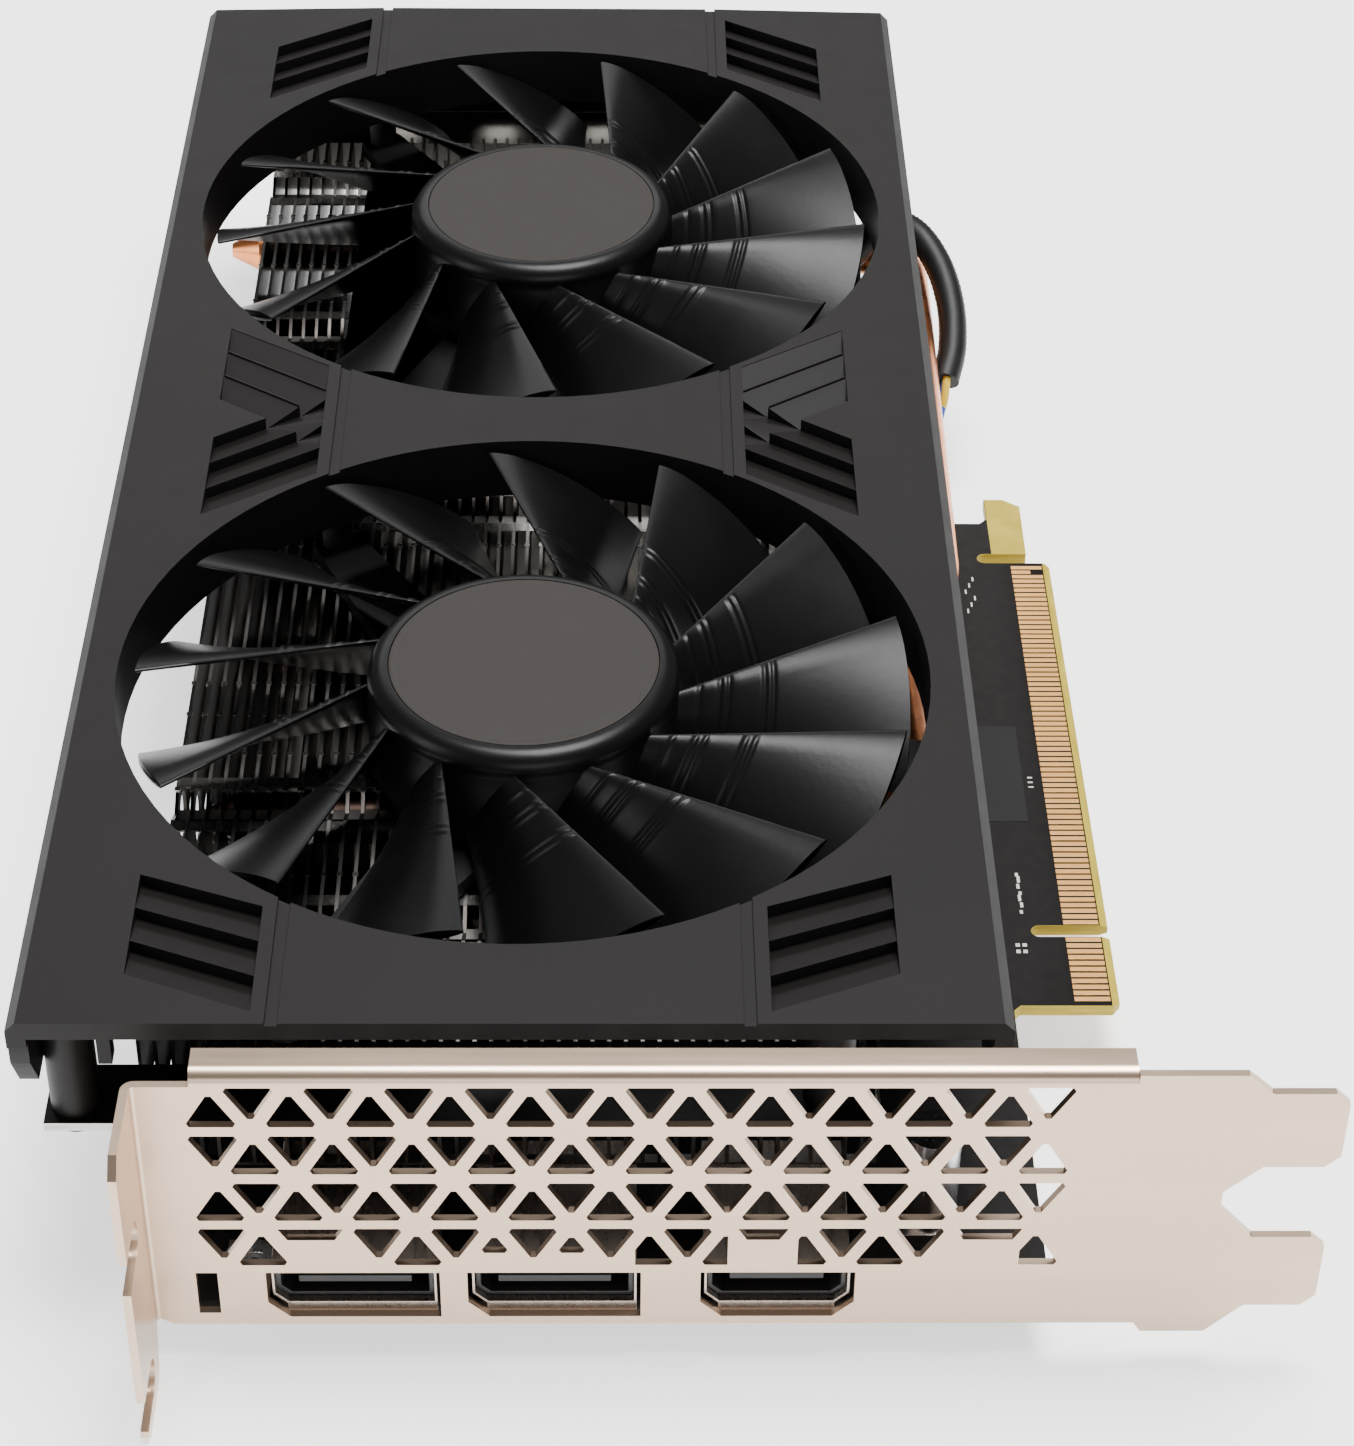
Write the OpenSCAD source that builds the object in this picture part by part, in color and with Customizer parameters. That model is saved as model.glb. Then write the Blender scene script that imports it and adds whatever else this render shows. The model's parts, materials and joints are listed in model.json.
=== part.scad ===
// Two-slot graphics card with two fans, lying on its back with the fans up.
// Working datum: X = 0 is the outer face of the screw tab and +X runs to the edge
// connector, Y = 0 is the outer face of the slot bracket and +Y runs to the far end,
// Z = 0 is the middle of the lower bracket tail. place() moves that datum so that the
// finished origin is the middle of the bounding box, at its bottom.

/* [Bracket] */
// Length of the bracket from the tab fold to the tail ends
bracket_len = 120; // [119.5:0.1:121]
// Thickness of the bracket sheet
sheet = 0.86; // [0.8:0.02:0.9]
// Depth of the screw tab
tab_depth = 11.43; // [11:0.1:12]
// Distance between two slots
slot_pitch = 20.32; // [20:0.01:20.5]
// Width of a bracket tail
tail_w = 10.19; // [9.8:0.01:10.6]
// Width of a screw notch
notch_w = 4.42; // [4.2:0.02:4.6]
// Distance between two vent holes of one row
vent_pitch = 7.82; // [7.7:0.01:7.9]

/* [Board] */
// Thickness of the circuit board
board_t = 1.57; // [1.5:0.01:1.6]
// Distance from the bracket face to the far edge of the board
board_end = 186; // [184:0.5:188]
// Length of the edge connector tongue
tongue_len = 85.2; // [85:0.1:85.4]
// Distance from the bracket face to the tongue
tongue_start = 45.4; // [45:0.1:46]
// Contacts on each side of the tongue
contacts = 82; // [82]

/* [Shroud] */
// Width of the shroud
shroud_w = 99.7; // [99:0.1:100.5]
// Length of the shroud
shroud_l = 215.3; // [215:0.1:216]
// Height of the shroud top above the lower tail
shroud_top = 28; // [27.8:0.1:28.2]
// Thickness of the shroud top
skin = 2.2; // [2:0.1:2.4]
// Height of the side walls
skirt_h = 11; // [9:0.5:11.5]
// Width of the chamfer along the sides
side_chamfer = 1.1; // [0.8:0.1:1.3]

/* [Fans] */
// Diameter of a fan opening
opening_d = 90.4; // [90:0.1:90.8]
// Diameter of a rotor over its blade tips
rotor_d = 86.6; // [85:0.1:87]
// Distance between the two fan axes
fan_pitch = 100; // [99.6:0.1:100.4]
// Blades on each rotor
blades = 13; // [11:1:13]
// Diameter of a hub
hub_d = 35.2; // [34.6:0.1:35.6]
// Diameter of the label disc on a hub
label_d = 30; // [28:0.5:30.5]

/* [Heatsink] */
// Number of fins
fins = 45; // [40:1:45]
// Distance between two fins
fin_pitch = 1.75; // [1.6:0.01:1.76]
// Thickness of a fin
fin_t = 0.4; // [0.3:0.05:0.5]
// Diameter of a heat pipe
pipe_d = 6; // [5.8:0.1:6]

/* [Fan lead] */
// Diameter of the sleeved lead
lead_d = 4; // [3.4:0.1:4.2]

/* [Hidden] */
$fn = 64;
eps = 0.01;

// Overall limits of the card in the working datum
shroud_x0 = 37.7 - shroud_w / 2;
shroud_x1 = 37.7 + shroud_w / 2;
shroud_y0 = 7.2;
shroud_y1 = shroud_y0 + shroud_l;
tab_tip_z = -13;
x_mid = (shroud_x0 + bracket_len) / 2;
y_mid = (shroud_y1 - tab_depth) / 2;

// Bracket levels
plate_low = -7.8;
plate_high = 26.4;
fold_r = 1.3;
flange_r = 1.6;
flange_depth = 3.9;
flange_z = plate_high + 1.5;
flange_x0 = 6.6;
flange_x1 = 99;
notch_z = -8.89;
notch_y = -6.6;

// Board levels and outline
board_z1 = -5.8;
board_z0 = board_z1 - board_t;
board_x0 = -1.2;
board_y0 = 1.4;
foot_screws = [[10, 5.6], [84, 5.6]];
foot_w = 4.8;
main_edge_x = 93.1;
far_edge_x = 88;
tongue_x = 105.3;
tongue_end = tongue_start + tongue_len;
edge_chamfer = 0.9;
edge_drop = 0.4;
key_w = 1.9;
key_from_start = 11.65;
hook_len = 12.6;

// Fans
fan_x = 37.7;
fan_y = [64, 64 + fan_pitch];
fan_phase = [0, 10.5];
hub_r = hub_d / 2;
hub_top = shroud_top + 1.3;
hub_low = 17;
hub_wall = 1.4;
blade_high = shroud_top + 0.2;
blade_drop = 12;
blade_root_drop = 10.5;
blade_t = 1.7;
lead_edge_offset = 10.3;
strut_z0 = 13.4;
strut_t = 1.9;
strut_angles = [0, 120, 240];
boss_ring_r = 47.9;
boss_r = 1.9;
tube_r = 4.2;
bearing_r = 3;
shaft_r = 1.5;
running_gap = 0.03;

// Duct below each opening
duct_wall = 1.2;
duct_low = 20;

// Heatsink levels
fin_x0 = -1.9;
fin_low = 3.2;
fin_top = 13;
fin_y0 = 12;
fin_step_y = 20.2;
fin_y1 = 210.7;
plate_z = 8.9;
plate_t = 1.1;
base_z0 = -3.4;
base_z1 = 5.6;
base_x = [12, 79.3];
base_y = [68, 136];
copper_x = [26, 66];
copper_y = [88, 124];
copper_z = [-3.8, -0.8];
pipe_r = pipe_d / 2;
low_pipe_z = 2.2;
high_pipe_z = 8;
inlet_y = [160, 181];
inlet_raise = 5;

// Pipe runs as [base leg Y, fin leg Y, centre line of the outer run in X, left end of the fin leg]
long_run = [111, 187, 88.8, -3];
front_run = [99, 62, 83.2, 5];
rear_run = [123, 150, 82.6, 0];
bend_r = 7;

// Graphics chip and the screws that hold the heatsink around it
gpu_c = [46, 106];
gpu_w = 37.5;
gpu_t = 1.2;
die_w = [18, 16];
die_t = 0.8;
cool_screws = [[16.5, 79.5], [75.5, 79.5], [16.5, 132.5], [75.5, 132.5]];
memory_t = 1.2;
side_memory = [for (i = [0:2]) [66.8, 84 + 15.5 * i]];
front_memory = [for (i = [0:2]) [20 + 17 * i, 69.6]];

// Shroud posts and the screws in them
near_posts = [[-7.6, 14.6], [70, 15.6]];
far_posts = [[2, 215], [73.4, 215]];
near_post_r = 2.6;
far_post_r = 2.4;
rear_plate_z = 11;

// Video sockets: left edge in X of each opening
wide_port_x = [12.4, 32.9];
wide_port_w = 17.7;
narrow_port_x = 56.7;
narrow_port_w = 15.8;
port_low = -6.7;
port_high = -0.1;
shell_front = 1;

// Route of the sleeved lead, from the rear fan's frame to the loose wires
lead_route = [
    [77.4, 171.8, 13.7], [80.8, 176.4, 14.2], [84, 181.2, 14.6], [87.4, 184, 14.4], [90.6, 183, 12.9],
    [93.2, 178.4, 10.6], [94.5, 172.4, 7.8], [94.4, 166.4, 5], [93.2, 161.8, 2.6]
];
wire_colours = ["yellow", "royalblue", "black", "firebrick"];
wire_r = 0.55;
ribbon_w = 3.6;
ribbon_t = 0.8;
ribbon_reach = 15;
ribbon_offset = 8;
plug_x = 84.6;
plug_y = 150.5;
plug_pitch = 2;

// ---------------------------------------------------------------- helpers

module place() translate([-x_mid, -y_mid, -tab_tip_z]) children();

// Extrudes an X-Z outline along Y, from y0 to y0 + t
module upright(t, y0 = 0) {
    translate([0, y0 + t, 0]) rotate([90, 0, 0]) linear_extrude(t) children();
}

// Extrudes a Y-Z outline along X, from x0 to x0 + t
module sideways(t, x0 = 0) {
    translate([x0, 0, 0]) rotate([90, 0, 90]) linear_extrude(t) children();
}

// Extrudes an X-Y outline from z0 to z1
module flat(z0, z1) {
    translate([0, 0, z0]) linear_extrude(z1 - z0) children();
}

module block(x, y, z) {
    translate([x[0], y[0], z[0]]) cube([x[1] - x[0], y[1] - y[0], z[1] - z[0]]);
}

module pillar(p, r, z0, z1) {
    translate([p[0], p[1], z0]) cylinder(r = r, h = z1 - z0);
}

module pipe_screw(p, r, z0, z1, head_r, head_t) {
    pillar(p, r, z0, z1);
    pillar(p, head_r, z0 - head_t, z0);
}

function span(x, w) = [x, x + w];
function on_circle(r, a) = [r * cos(a), r * sin(a)];
function fan_centre(i) = [fan_x, fan_y[i]];

// ---------------------------------------------------------------- bracket

vent_w = 5.4;
vent_h = 4.7;
vent_cut = 0.55;
vent_x0 = 8.4;
vent_rows_z = [20.9, 14.28, 7.6, 1.05];
vent_rise = 5.35;

// Triangle standing on its base at [x, z], with its corners cut off
module vent(x, z, up = 1, w = vent_w, h = vent_h) {
    c = vent_cut;
    slope = c * h / (w / 2);
    translate([x, z]) scale([1, up]) polygon([
        [-w / 2 + c, 0], [w / 2 - c, 0], [w / 2 - c / 2, slope / 2],
        [c / 2, h - slope / 2], [-c / 2, h - slope / 2], [-w / 2 + c / 2, slope / 2]
    ]);
}

module vent_row(row) {
    z = vent_rows_z[row];
    first_up = row % 2 == 0 ? 0 : vent_pitch / 2;
    first_down = row % 2 == 0 ? vent_pitch / 2 : 0;
    for (k = [0:10]) {
        vent(vent_x0 + first_up + k * vent_pitch, z);
        vent(vent_x0 + first_down + k * vent_pitch, z + vent_rise, -1);
    }
}

// The lowest row has gaps and short slots above the sockets
module socket_row() {
    z = vent_rows_z[3];
    for (k = [0, 2, 3, 4, 5, 6, 8, 9]) vent(vent_x0 + k * vent_pitch, z + vent_rise, -1);
    for (k = [0, 2, 8]) vent(vent_x0 + (k + 0.5) * vent_pitch, z);
    for (k = [3, 4]) vent(vent_x0 + (k + 0.5) * vent_pitch, z + 1.8, 1, 3.2, 2.7);
    difference() {
        for (k = [5, 6, 7, 10]) vent(vent_x0 + (k + 0.5) * vent_pitch, z);
        translate([49, z - 1]) square([1, 6]);
        translate([59.4, z - 1]) square([7.1, 6]);
        translate([88, z - 1]) square([1, 6]);
    }
    for (s = [[14, 20.6], [60.4, 65.5], [82.3, 89.1]])
        translate([s[0], z + 3.7]) polygon([
            [0.9, 0], [s[1] - s[0] - 0.9, 0], [s[1] - s[0], 1.6], [0, 1.6]
        ]);
}

// Opening with one or both lower corners cut off
module port_hole(x, w, right_cut) {
    c = 2.2;
    r = right_cut ? c : 0;
    polygon([
        [x + c, port_low], [x + w - r, port_low], [x + w, port_low + r],
        [x + w, port_high], [x, port_high], [x, port_low + c]
    ]);
}

module bracket_outline() {
    half = tail_w / 2;
    up = slot_pitch;
    end = bracket_len;
    r = 1.5;
    polygon([
        [fold_r, plate_low + 0.8], [2.6, plate_low], [101.6, plate_low], [102.4, -9.1],
        [109, -9.1], [112.7, -half], [end - r, -half], [end, -half + r],
        [end, half - r], [end - r, half], [112.45, half], [108.8, half + 4.2],
        [108.8, up - half - 3.6], [112.45, up - half], [end - r, up - half],
        [end, up - half + r], [end, up + half - r], [end - r, up + half],
        [112.3, up + half], [109.7, flange_z], [flange_x1, flange_z],
        [flange_x1, plate_high], [flange_x0, plate_high], [fold_r, plate_high]
    ]);
}

module tab_outline() {
    d = tab_depth;
    polygon([
        [-2, -12], [-3.2, tab_tip_z], [-d + 1, tab_tip_z],
        [-d, tab_tip_z + 1], [-d, plate_high - 1.2], [-d + 1.8, plate_high + 0.6],
        [-(fold_r - sheet), plate_high], [-(fold_r - sheet), plate_low + 0.8]
    ]);
}

module notch(z) {
    translate([notch_y, z]) circle(d = notch_w);
    translate([-tab_depth - 1, z - notch_w / 2]) square([tab_depth + 1 + notch_y, notch_w]);
}

module bracket() color([0.80, 0.77, 0.73]) {
    difference() {
        upright(sheet) bracket_outline();
        upright(sheet + 2, -1) {
            for (row = [0:2]) vent_row(row);
            socket_row();
            translate([5.3, -6.1]) square([2.2, 6]);
            for (x = wide_port_x) port_hole(x, wide_port_w, false);
            port_hole(narrow_port_x, narrow_port_w, true);
        }
    }
    // Fold between the plate and the tab
    translate([fold_r, sheet - fold_r, plate_low + 0.8]) rotate(90)
        rotate_extrude(angle = 90) translate([fold_r - sheet, 0])
            square([sheet, plate_high - plate_low - 0.8]);
    difference() {
        sideways(sheet) tab_outline();
        sideways(sheet + 2, -1) for (i = [0, 1]) notch(notch_z + i * slot_pitch);
    }
    // Flange along the upper edge, bent towards the card
    translate([flange_x0, flange_r, plate_high + 1.5 - flange_r]) rotate([0, 90, 0]) rotate(180)
        rotate_extrude(angle = 90) translate([flange_r - sheet, 0])
            square([sheet, flange_x1 - flange_x0]);
    block([flange_x0, flange_x1], [flange_r, flange_depth], [flange_z - sheet, flange_z]);
    // Feet that lie on the board
    for (p = foot_screws) difference() {
        block(span(p[0] - foot_w / 2, foot_w), [sheet - eps, 9], [board_z1, board_z1 + sheet]);
        pillar(p, 1.4, board_z1 - 1, board_z1 + 2);
    }
}

module bracket_screws() color("silver") for (p = foot_screws) {
    pillar(p, 1.25, board_z0 - 0.6, board_z1 + sheet);
    difference() {
        pillar(p, 2.4, board_z1 + sheet, board_z1 + sheet + 1.5);
        for (a = [0, 90]) translate([p[0], p[1], board_z1 + sheet + 1.1]) rotate(a)
            cube([2.6, 0.5, 1.2], center = true);
    }
}

// ---------------------------------------------------------------- board

module board_outline() {
    key_y = tongue_start + key_from_start;
    hook_y = tongue_end + 2;
    difference() {
        polygon([
            [board_x0, board_y0], [main_edge_x, board_y0], [main_edge_x, tongue_start - 0.8],
            [main_edge_x + 0.8, tongue_start], [tongue_x - 0.8, tongue_start],
            [tongue_x, tongue_start + 0.8], [tongue_x, tongue_end - 0.5],
            [tongue_x - 0.5, tongue_end], [102.4, tongue_end], [102.4, hook_y],
            [102.5, hook_y + 11], [100.3, hook_y + hook_len], [97.7, hook_y + hook_len],
            [97.7, hook_y + 8], [96.7, hook_y + 7], [89.5, hook_y + 7],
            [far_edge_x, hook_y + 8.5], [far_edge_x, board_end], [board_x0, board_end]
        ]);
        translate([tongue_x - 8.1, key_y]) square([10, key_w]);
        translate([tongue_x - 8.1, key_y + key_w / 2]) circle(d = key_w);
        translate([96.8, tongue_end]) square([10, 2]);
        translate([96.8, tongue_end + 1]) circle(d = 2);
    }
}

module pcb() color([0.08, 0.07, 0.07]) difference() {
    flat(board_z0, board_z1) board_outline();
    for (p = cool_screws) pillar(p, 1.7, board_z0 - 1, board_z1 + 1);
    for (p = foot_screws) pillar(p, 1.35, board_z0 - 1, board_z1 + 1);
    // Chamfers that lead the edge connector into its slot
    upright(tongue_len + 2, tongue_start - 1) for (s = [[board_z1, 1], [board_z0, -1]])
        polygon([
            [tongue_x - edge_chamfer, s[0]], [tongue_x + 0.1, s[0] - s[1] * (edge_drop + 0.04)],
            [tongue_x + 0.1, s[0] + s[1]], [tongue_x - edge_chamfer, s[0] + s[1]]
        ]);
}

// One contact pad per pin and side; the pins beside the key are three pitches apart
module edge_contacts() color("gold") for (i = [0:contacts - 1]) {
    y = tongue_start + 1.1 + i + (i > 10 ? 2 : 0);
    back = i == contacts - 2 ? 1.6 : 0;
    for (z = [[board_z1, board_z1 + 0.05], [board_z0 - 0.05, board_z0]])
        block([100.1, 104.2 - back], [y - 0.35, y + 0.35], z);
}

module gpu_package() color([0.18, 0.24, 0.16])
    translate([gpu_c[0] - gpu_w / 2, gpu_c[1] - gpu_w / 2, board_z1]) cube([gpu_w, gpu_w, gpu_t]);

module gpu_die() color([0.45, 0.47, 0.52])
    translate([gpu_c[0] - die_w[0] / 2, gpu_c[1] - die_w[1] / 2, board_z1 + gpu_t])
        cube([die_w[0], die_w[1], die_t]);

module memory_chips() color([0.1, 0.1, 0.11]) {
    for (p = side_memory) translate([p[0], p[1], board_z1]) cube([12, 14, memory_t]);
    for (p = front_memory) translate([p[0], p[1], board_z1]) cube([14, 12, memory_t]);
}

module memory_pads() color([0.72, 0.74, 0.76]) {
    h = base_z0 - board_z1 - memory_t;
    for (p = side_memory) translate([p[0] + 0.5, p[1] + 0.5, board_z1 + memory_t])
        cube([11, 13, h]);
    for (p = front_memory) translate([p[0] + 0.5, p[1] + 0.5, board_z1 + memory_t])
        cube([13, 11, h]);
}

choke_x = [for (i = [0:5]) 15 + 11.5 * i];

module chokes() color([0.30, 0.30, 0.32]) for (x = choke_x)
    translate([x, 140, board_z1]) difference() {
        cube([8, 8, 4.4]);
        for (c = [0, 8]) translate([4, c, -1]) cylinder(r = 1, h = 7);
    }

module power_stages() color([0.07, 0.07, 0.08]) for (x = choke_x)
    for (y = [150.5, 155.2]) translate([x + 1.5, y, board_z1]) cube([5, 4, 0.9]);

module capacitor(p, r, h) {
    translate([p[0] - r, p[1] - r, board_z1]) cube([2 * r, 2 * r, 0.8]);
    pillar(p, r - 0.15, board_z1 + 0.8, board_z1 + h);
}

module polymer_capacitors() color([0.78, 0.78, 0.80]) {
    capacitor([81, 12.7], 3.1, 13.5);
    for (i = [0:4]) capacitor([24.75 + 11.5 * i, 144], 1.6, 5);
    for (y = [64.5, 72, 79.5]) capacitor([85, y], 3.2, 7);
    for (y = [164, 172]) capacitor([70, y], 3.2, 7.6);
}

module chip_capacitors() color([0.55, 0.47, 0.38]) {
    for (i = [0:7]) translate([16 + 5.5 * i, 28, board_z1]) cube([1.6, 0.8, 0.8]);
    for (i = [0:7]) translate([18 + 6.5 * i, 33.5, board_z1]) cube([0.8, 1.6, 0.8]);
    for (i = [0:5]) translate([84.5, 95 + 4.2 * i, board_z1]) cube([1.6, 0.8, 0.8]);
    for (i = [0:5]) translate([58 + 2.2 * i, 22, board_z1]) cube([0.8, 1.6, 0.8]);
    for (i = [0:7]) translate([4, 72 + 6 * i, board_z1]) cube([1.6, 0.8, 0.8]);
}

module controller_chips() color([0.09, 0.09, 0.1]) {
    translate([40, 160, board_z1]) cube([6, 6, 0.9]);
    translate([52, 161, board_z1]) cube([5, 4, 1.2]);
    translate([8, 50, board_z1]) cube([5, 6, 1.6]);
    translate([77, 40, board_z1]) cube([4, 5, 1.2]);
    translate([62, 26, board_z1]) cube([7, 7, 0.9]);
}

module crystal_can() color("silver") translate([30, 56, board_z1]) cube([5, 3.2, 0.9]);

// ---------------------------------------------------------------- power inlet

inlet_z = [board_z1, 4.4];
inlet_x = [-1.8, 12];
cell = 4.2;

module inlet_cells(w, x) {
    mid_y = (inlet_y[0] + inlet_y[1]) / 2;
    mid_z = (inlet_z[0] + inlet_z[1]) / 2;
    for (i = [-1.5:1.5]) for (j = [-0.5, 0.5])
        translate([x[0], mid_y + i * cell - w / 2, mid_z + j * cell - w / 2])
            cube([x[1] - x[0], w, w]);
}

module power_inlet() color([0.06, 0.06, 0.07]) {
    mid_y = (inlet_y[0] + inlet_y[1]) / 2;
    difference() {
        block(inlet_x, inlet_y, inlet_z);
        inlet_cells(3.6, [inlet_x[0] - 1, 9]);
    }
    block([inlet_x[0], 3], [mid_y - 2.6, mid_y + 2.6], [inlet_z[1], inlet_z[1] + 0.5]);
}

module power_pins() color("gold") inlet_cells(1.1, [1.5, 9]);

// ---------------------------------------------------------------- video sockets

shell_t = 0.3;
lip_drop = 1.1;
liner_t = 0.6;
liner_setback = 0.8;
back_block = 5;
shell_z = [board_z1, -0.4];

// Front outline of a socket, drawn in by inset; one or both lower corners are cut off
module port_shape(x, w, right_cut, inset) {
    corner = 1.5 + 0.4 * inset;
    right = right_cut ? corner : inset;
    low = shell_z[0];
    high = shell_z[1];
    polygon([
        [x + corner, low + inset], [x + w - right, low + inset],
        [x + w - inset, low + right], [x + w - inset, high - inset],
        [x + inset, high - inset], [x + inset, low + corner]
    ]);
}

module port_shell(x, w, depth, right_cut) {
    difference() {
        upright(depth, shell_front) port_shape(x, w, right_cut, 0);
        upright(depth - shell_t, shell_front - eps) port_shape(x, w, right_cut, shell_t);
    }
    // Lip turned down over the edge of the board
    block([x + 1.5, x + w - (right_cut ? 1.5 : 0)], span(shell_front, shell_t),
        [shell_z[0] - lip_drop, shell_z[0] + eps]);
}

// Lined cavity with a back block and a tongue between them
module port_insert(x, w, depth, tongue_z, right_cut) {
    y_back = shell_front + depth - shell_t - 0.02;
    front = shell_front + liner_setback;
    difference() {
        upright(y_back - front, front) port_shape(x, w, right_cut, shell_t + 0.02);
        upright(y_back - back_block - front + 1, front - 1) port_shape(x, w, right_cut, shell_t + liner_t);
    }
    block([x + 2.6, x + w - 2.6], [front + 0.4, y_back - back_block + eps], tongue_z);
}

module port_contacts(x, w, count, z) {
    pitch = (w - 6.4) / (count - 1);
    for (i = [0:count - 1])
        block(span(x + 3.2 + i * pitch - 0.2, 0.4), [shell_front + 1.8, 10], z);
}

wide_shell_w = 16.9;
narrow_shell_w = 15;
socket_depth = 18;
wide_tongue_z = [-3.9, -2.9];
narrow_tongue_z = [-3.5, -2.5];

module wide_port_shells() color([0.75, 0.75, 0.76])
    for (x = wide_port_x) port_shell(x + 0.4, wide_shell_w, socket_depth, false);

module wide_port_inserts() color([0.05, 0.05, 0.05])
    for (x = wide_port_x) port_insert(x + 0.4, wide_shell_w, socket_depth, wide_tongue_z, false);

module wide_port_contacts() color("gold") for (x = wide_port_x) {
    port_contacts(x + 0.4, wide_shell_w, 10, [wide_tongue_z[1], wide_tongue_z[1] + 0.12]);
    port_contacts(x + 0.4, wide_shell_w, 10, [wide_tongue_z[0] - 0.12, wide_tongue_z[0]]);
}

module narrow_port_shell() color([0.75, 0.75, 0.76])
    port_shell(narrow_port_x + 0.4, narrow_shell_w, socket_depth, true);

module narrow_port_insert() color([0.05, 0.05, 0.05])
    port_insert(narrow_port_x + 0.4, narrow_shell_w, socket_depth, narrow_tongue_z, true);

module narrow_port_contacts() color("gold") {
    z = narrow_tongue_z;
    port_contacts(narrow_port_x + 0.4, narrow_shell_w, 10, [z[1], z[1] + 0.12]);
    port_contacts(narrow_port_x + 0.4, narrow_shell_w, 9, [z[0] - 0.12, z[0]]);
}

// ---------------------------------------------------------------- heatsink

module copper_base() color([0.78, 0.47, 0.30]) block(copper_x, copper_y, copper_z);

module heatsink_base() color([0.62, 0.62, 0.63]) {
    difference() {
        block(base_x, base_y, [base_z0, base_z1]);
        block([copper_x[0], copper_x[1]], copper_y, [base_z0 - 1, copper_z[1]]);
        for (run = [long_run, front_run, rear_run]) {
            translate([base_x[0] - 1, run[0], low_pipe_z]) rotate([0, 90, 0])
                cylinder(r = pipe_r + 0.05, h = base_x[1] - base_x[0] + 2);
        }
        // Room where the two short pipes start to bend
        for (run = [front_run, rear_run]) {
            dir = run[1] > run[0] ? 1 : -1;
            sides = [run[0] - dir * (pipe_r + 0.3), run[0] + dir * (pipe_r + 3)];
            block([run[2] - bend_r - 0.3, base_x[1] + 1], [min(sides), max(sides)],
                [low_pipe_z - pipe_r - 0.3, base_z1 + 1]);
        }
        for (p = cool_screws) pillar(p, 1.25, base_z0 - 1, base_z0 + 5);
    }
    for (p = cool_screws) difference() {
        pillar(p, 2.6, board_z1, base_z0);
        pillar(p, 1.25, board_z1 - 1, base_z0 + 1);
    }
}

// A pipe with two legs along X joined by a bend on the right; dir is +1 when the
// fin leg lies further from the bracket than the base leg
module heat_pipe(run, left_base) {
    dir = run[1] > run[0] ? 1 : -1;
    rise = high_pipe_z - low_pipe_z;
    length = norm([run[1] - run[0], rise]);
    tilt = atan2(rise, abs(run[1] - run[0]));
    corner_x = run[2] - bend_r;
    translate([0, run[0], low_pipe_z]) scale([1, dir, 1]) rotate([tilt, 0, 0]) {
        translate([left_base, 0, 0]) rotate([0, 90, 0]) cylinder(r = pipe_r, h = corner_x - left_base);
        translate([run[3], length, 0]) rotate([0, 90, 0]) cylinder(r = pipe_r, h = corner_x - run[3]);
        translate([run[3] - 4, length, 0]) rotate([0, 90, 0])
            cylinder(r1 = pipe_r / 3, r2 = pipe_r, h = 4);
        translate([run[2], bend_r, 0]) rotate([-90, 0, 0])
            cylinder(r = pipe_r, h = length - 2 * bend_r);
        translate([corner_x, bend_r, 0]) rotate([0, 0, -90]) rotate_extrude(angle = 90)
            translate([bend_r, 0]) circle(r = pipe_r);
        translate([corner_x, length - bend_r, 0]) rotate_extrude(angle = 90)
            translate([bend_r, 0]) circle(r = pipe_r);
    }
}

module heat_pipe_long() color([0.80, 0.46, 0.28]) heat_pipe(long_run, 4);
module heat_pipe_front() color([0.80, 0.46, 0.28]) heat_pipe(front_run, 2);
module heat_pipe_rear() color([0.80, 0.46, 0.28]) heat_pipe(rear_run, 6);

// Rows where the fin edges are folded over and hooked together
fold_rows = [38.5, 58.5, 116, 158, 196];

module fin_outline() {
    difference() {
        polygon([
            [fin_y0, fin_low], [base_y[0] - 1, fin_low], [base_y[0] - 1, base_z1],
            [base_y[1] + 1, base_z1], [base_y[1] + 1, fin_low],
            [inlet_y[0] - 1.5, fin_low], [inlet_y[0] - 1.5, inlet_raise],
            [inlet_y[1] + 1.5, inlet_raise], [inlet_y[1] + 1.5, fin_low],
            [fin_y1, fin_low], [fin_y1, fin_top], [fin_step_y, fin_top],
            [fin_step_y, plate_z], [fin_y0, plate_z]
        ]);
        for (run = [long_run, front_run, rear_run])
            translate([run[1], high_pipe_z]) circle(r = pipe_r + 0.05);
        for (y = fold_rows) translate([y, fin_top]) polygon([[-3, 0.1], [3, 0.1], [0, -1.4]]);
    }
}

module fin_stack() color([0.70, 0.70, 0.71]) {
    screw = near_posts[1];
    difference() {
        for (i = [0:fins - 1]) sideways(fin_t, fin_x0 + i * fin_pitch) fin_outline();
        block(span(screw[0] - 2.8, 5.6), span(screw[1] - 2.6, 5.2), [plate_z - 2, plate_z + 1]);
    }
    length = (fins - 1) * fin_pitch + fin_t;
    for (y = fold_rows) block(span(fin_x0, length), [y - 0.8, y + 0.8], [fin_top - 1.9, fin_top - 1.6]);
    block(span(fin_x0, length), [fin_y0, fin_y0 + 1.2], [fin_low, fin_low + 0.3]);
}

module front_mount_plate() color([0.10, 0.09, 0.09]) difference() {
    block([-10.6, 75], [11.3, 19.9], [plate_z, plate_z + plate_t]);
    for (p = near_posts) pillar(p, 1.35, plate_z - 1, plate_z + plate_t + 1);
}

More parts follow.
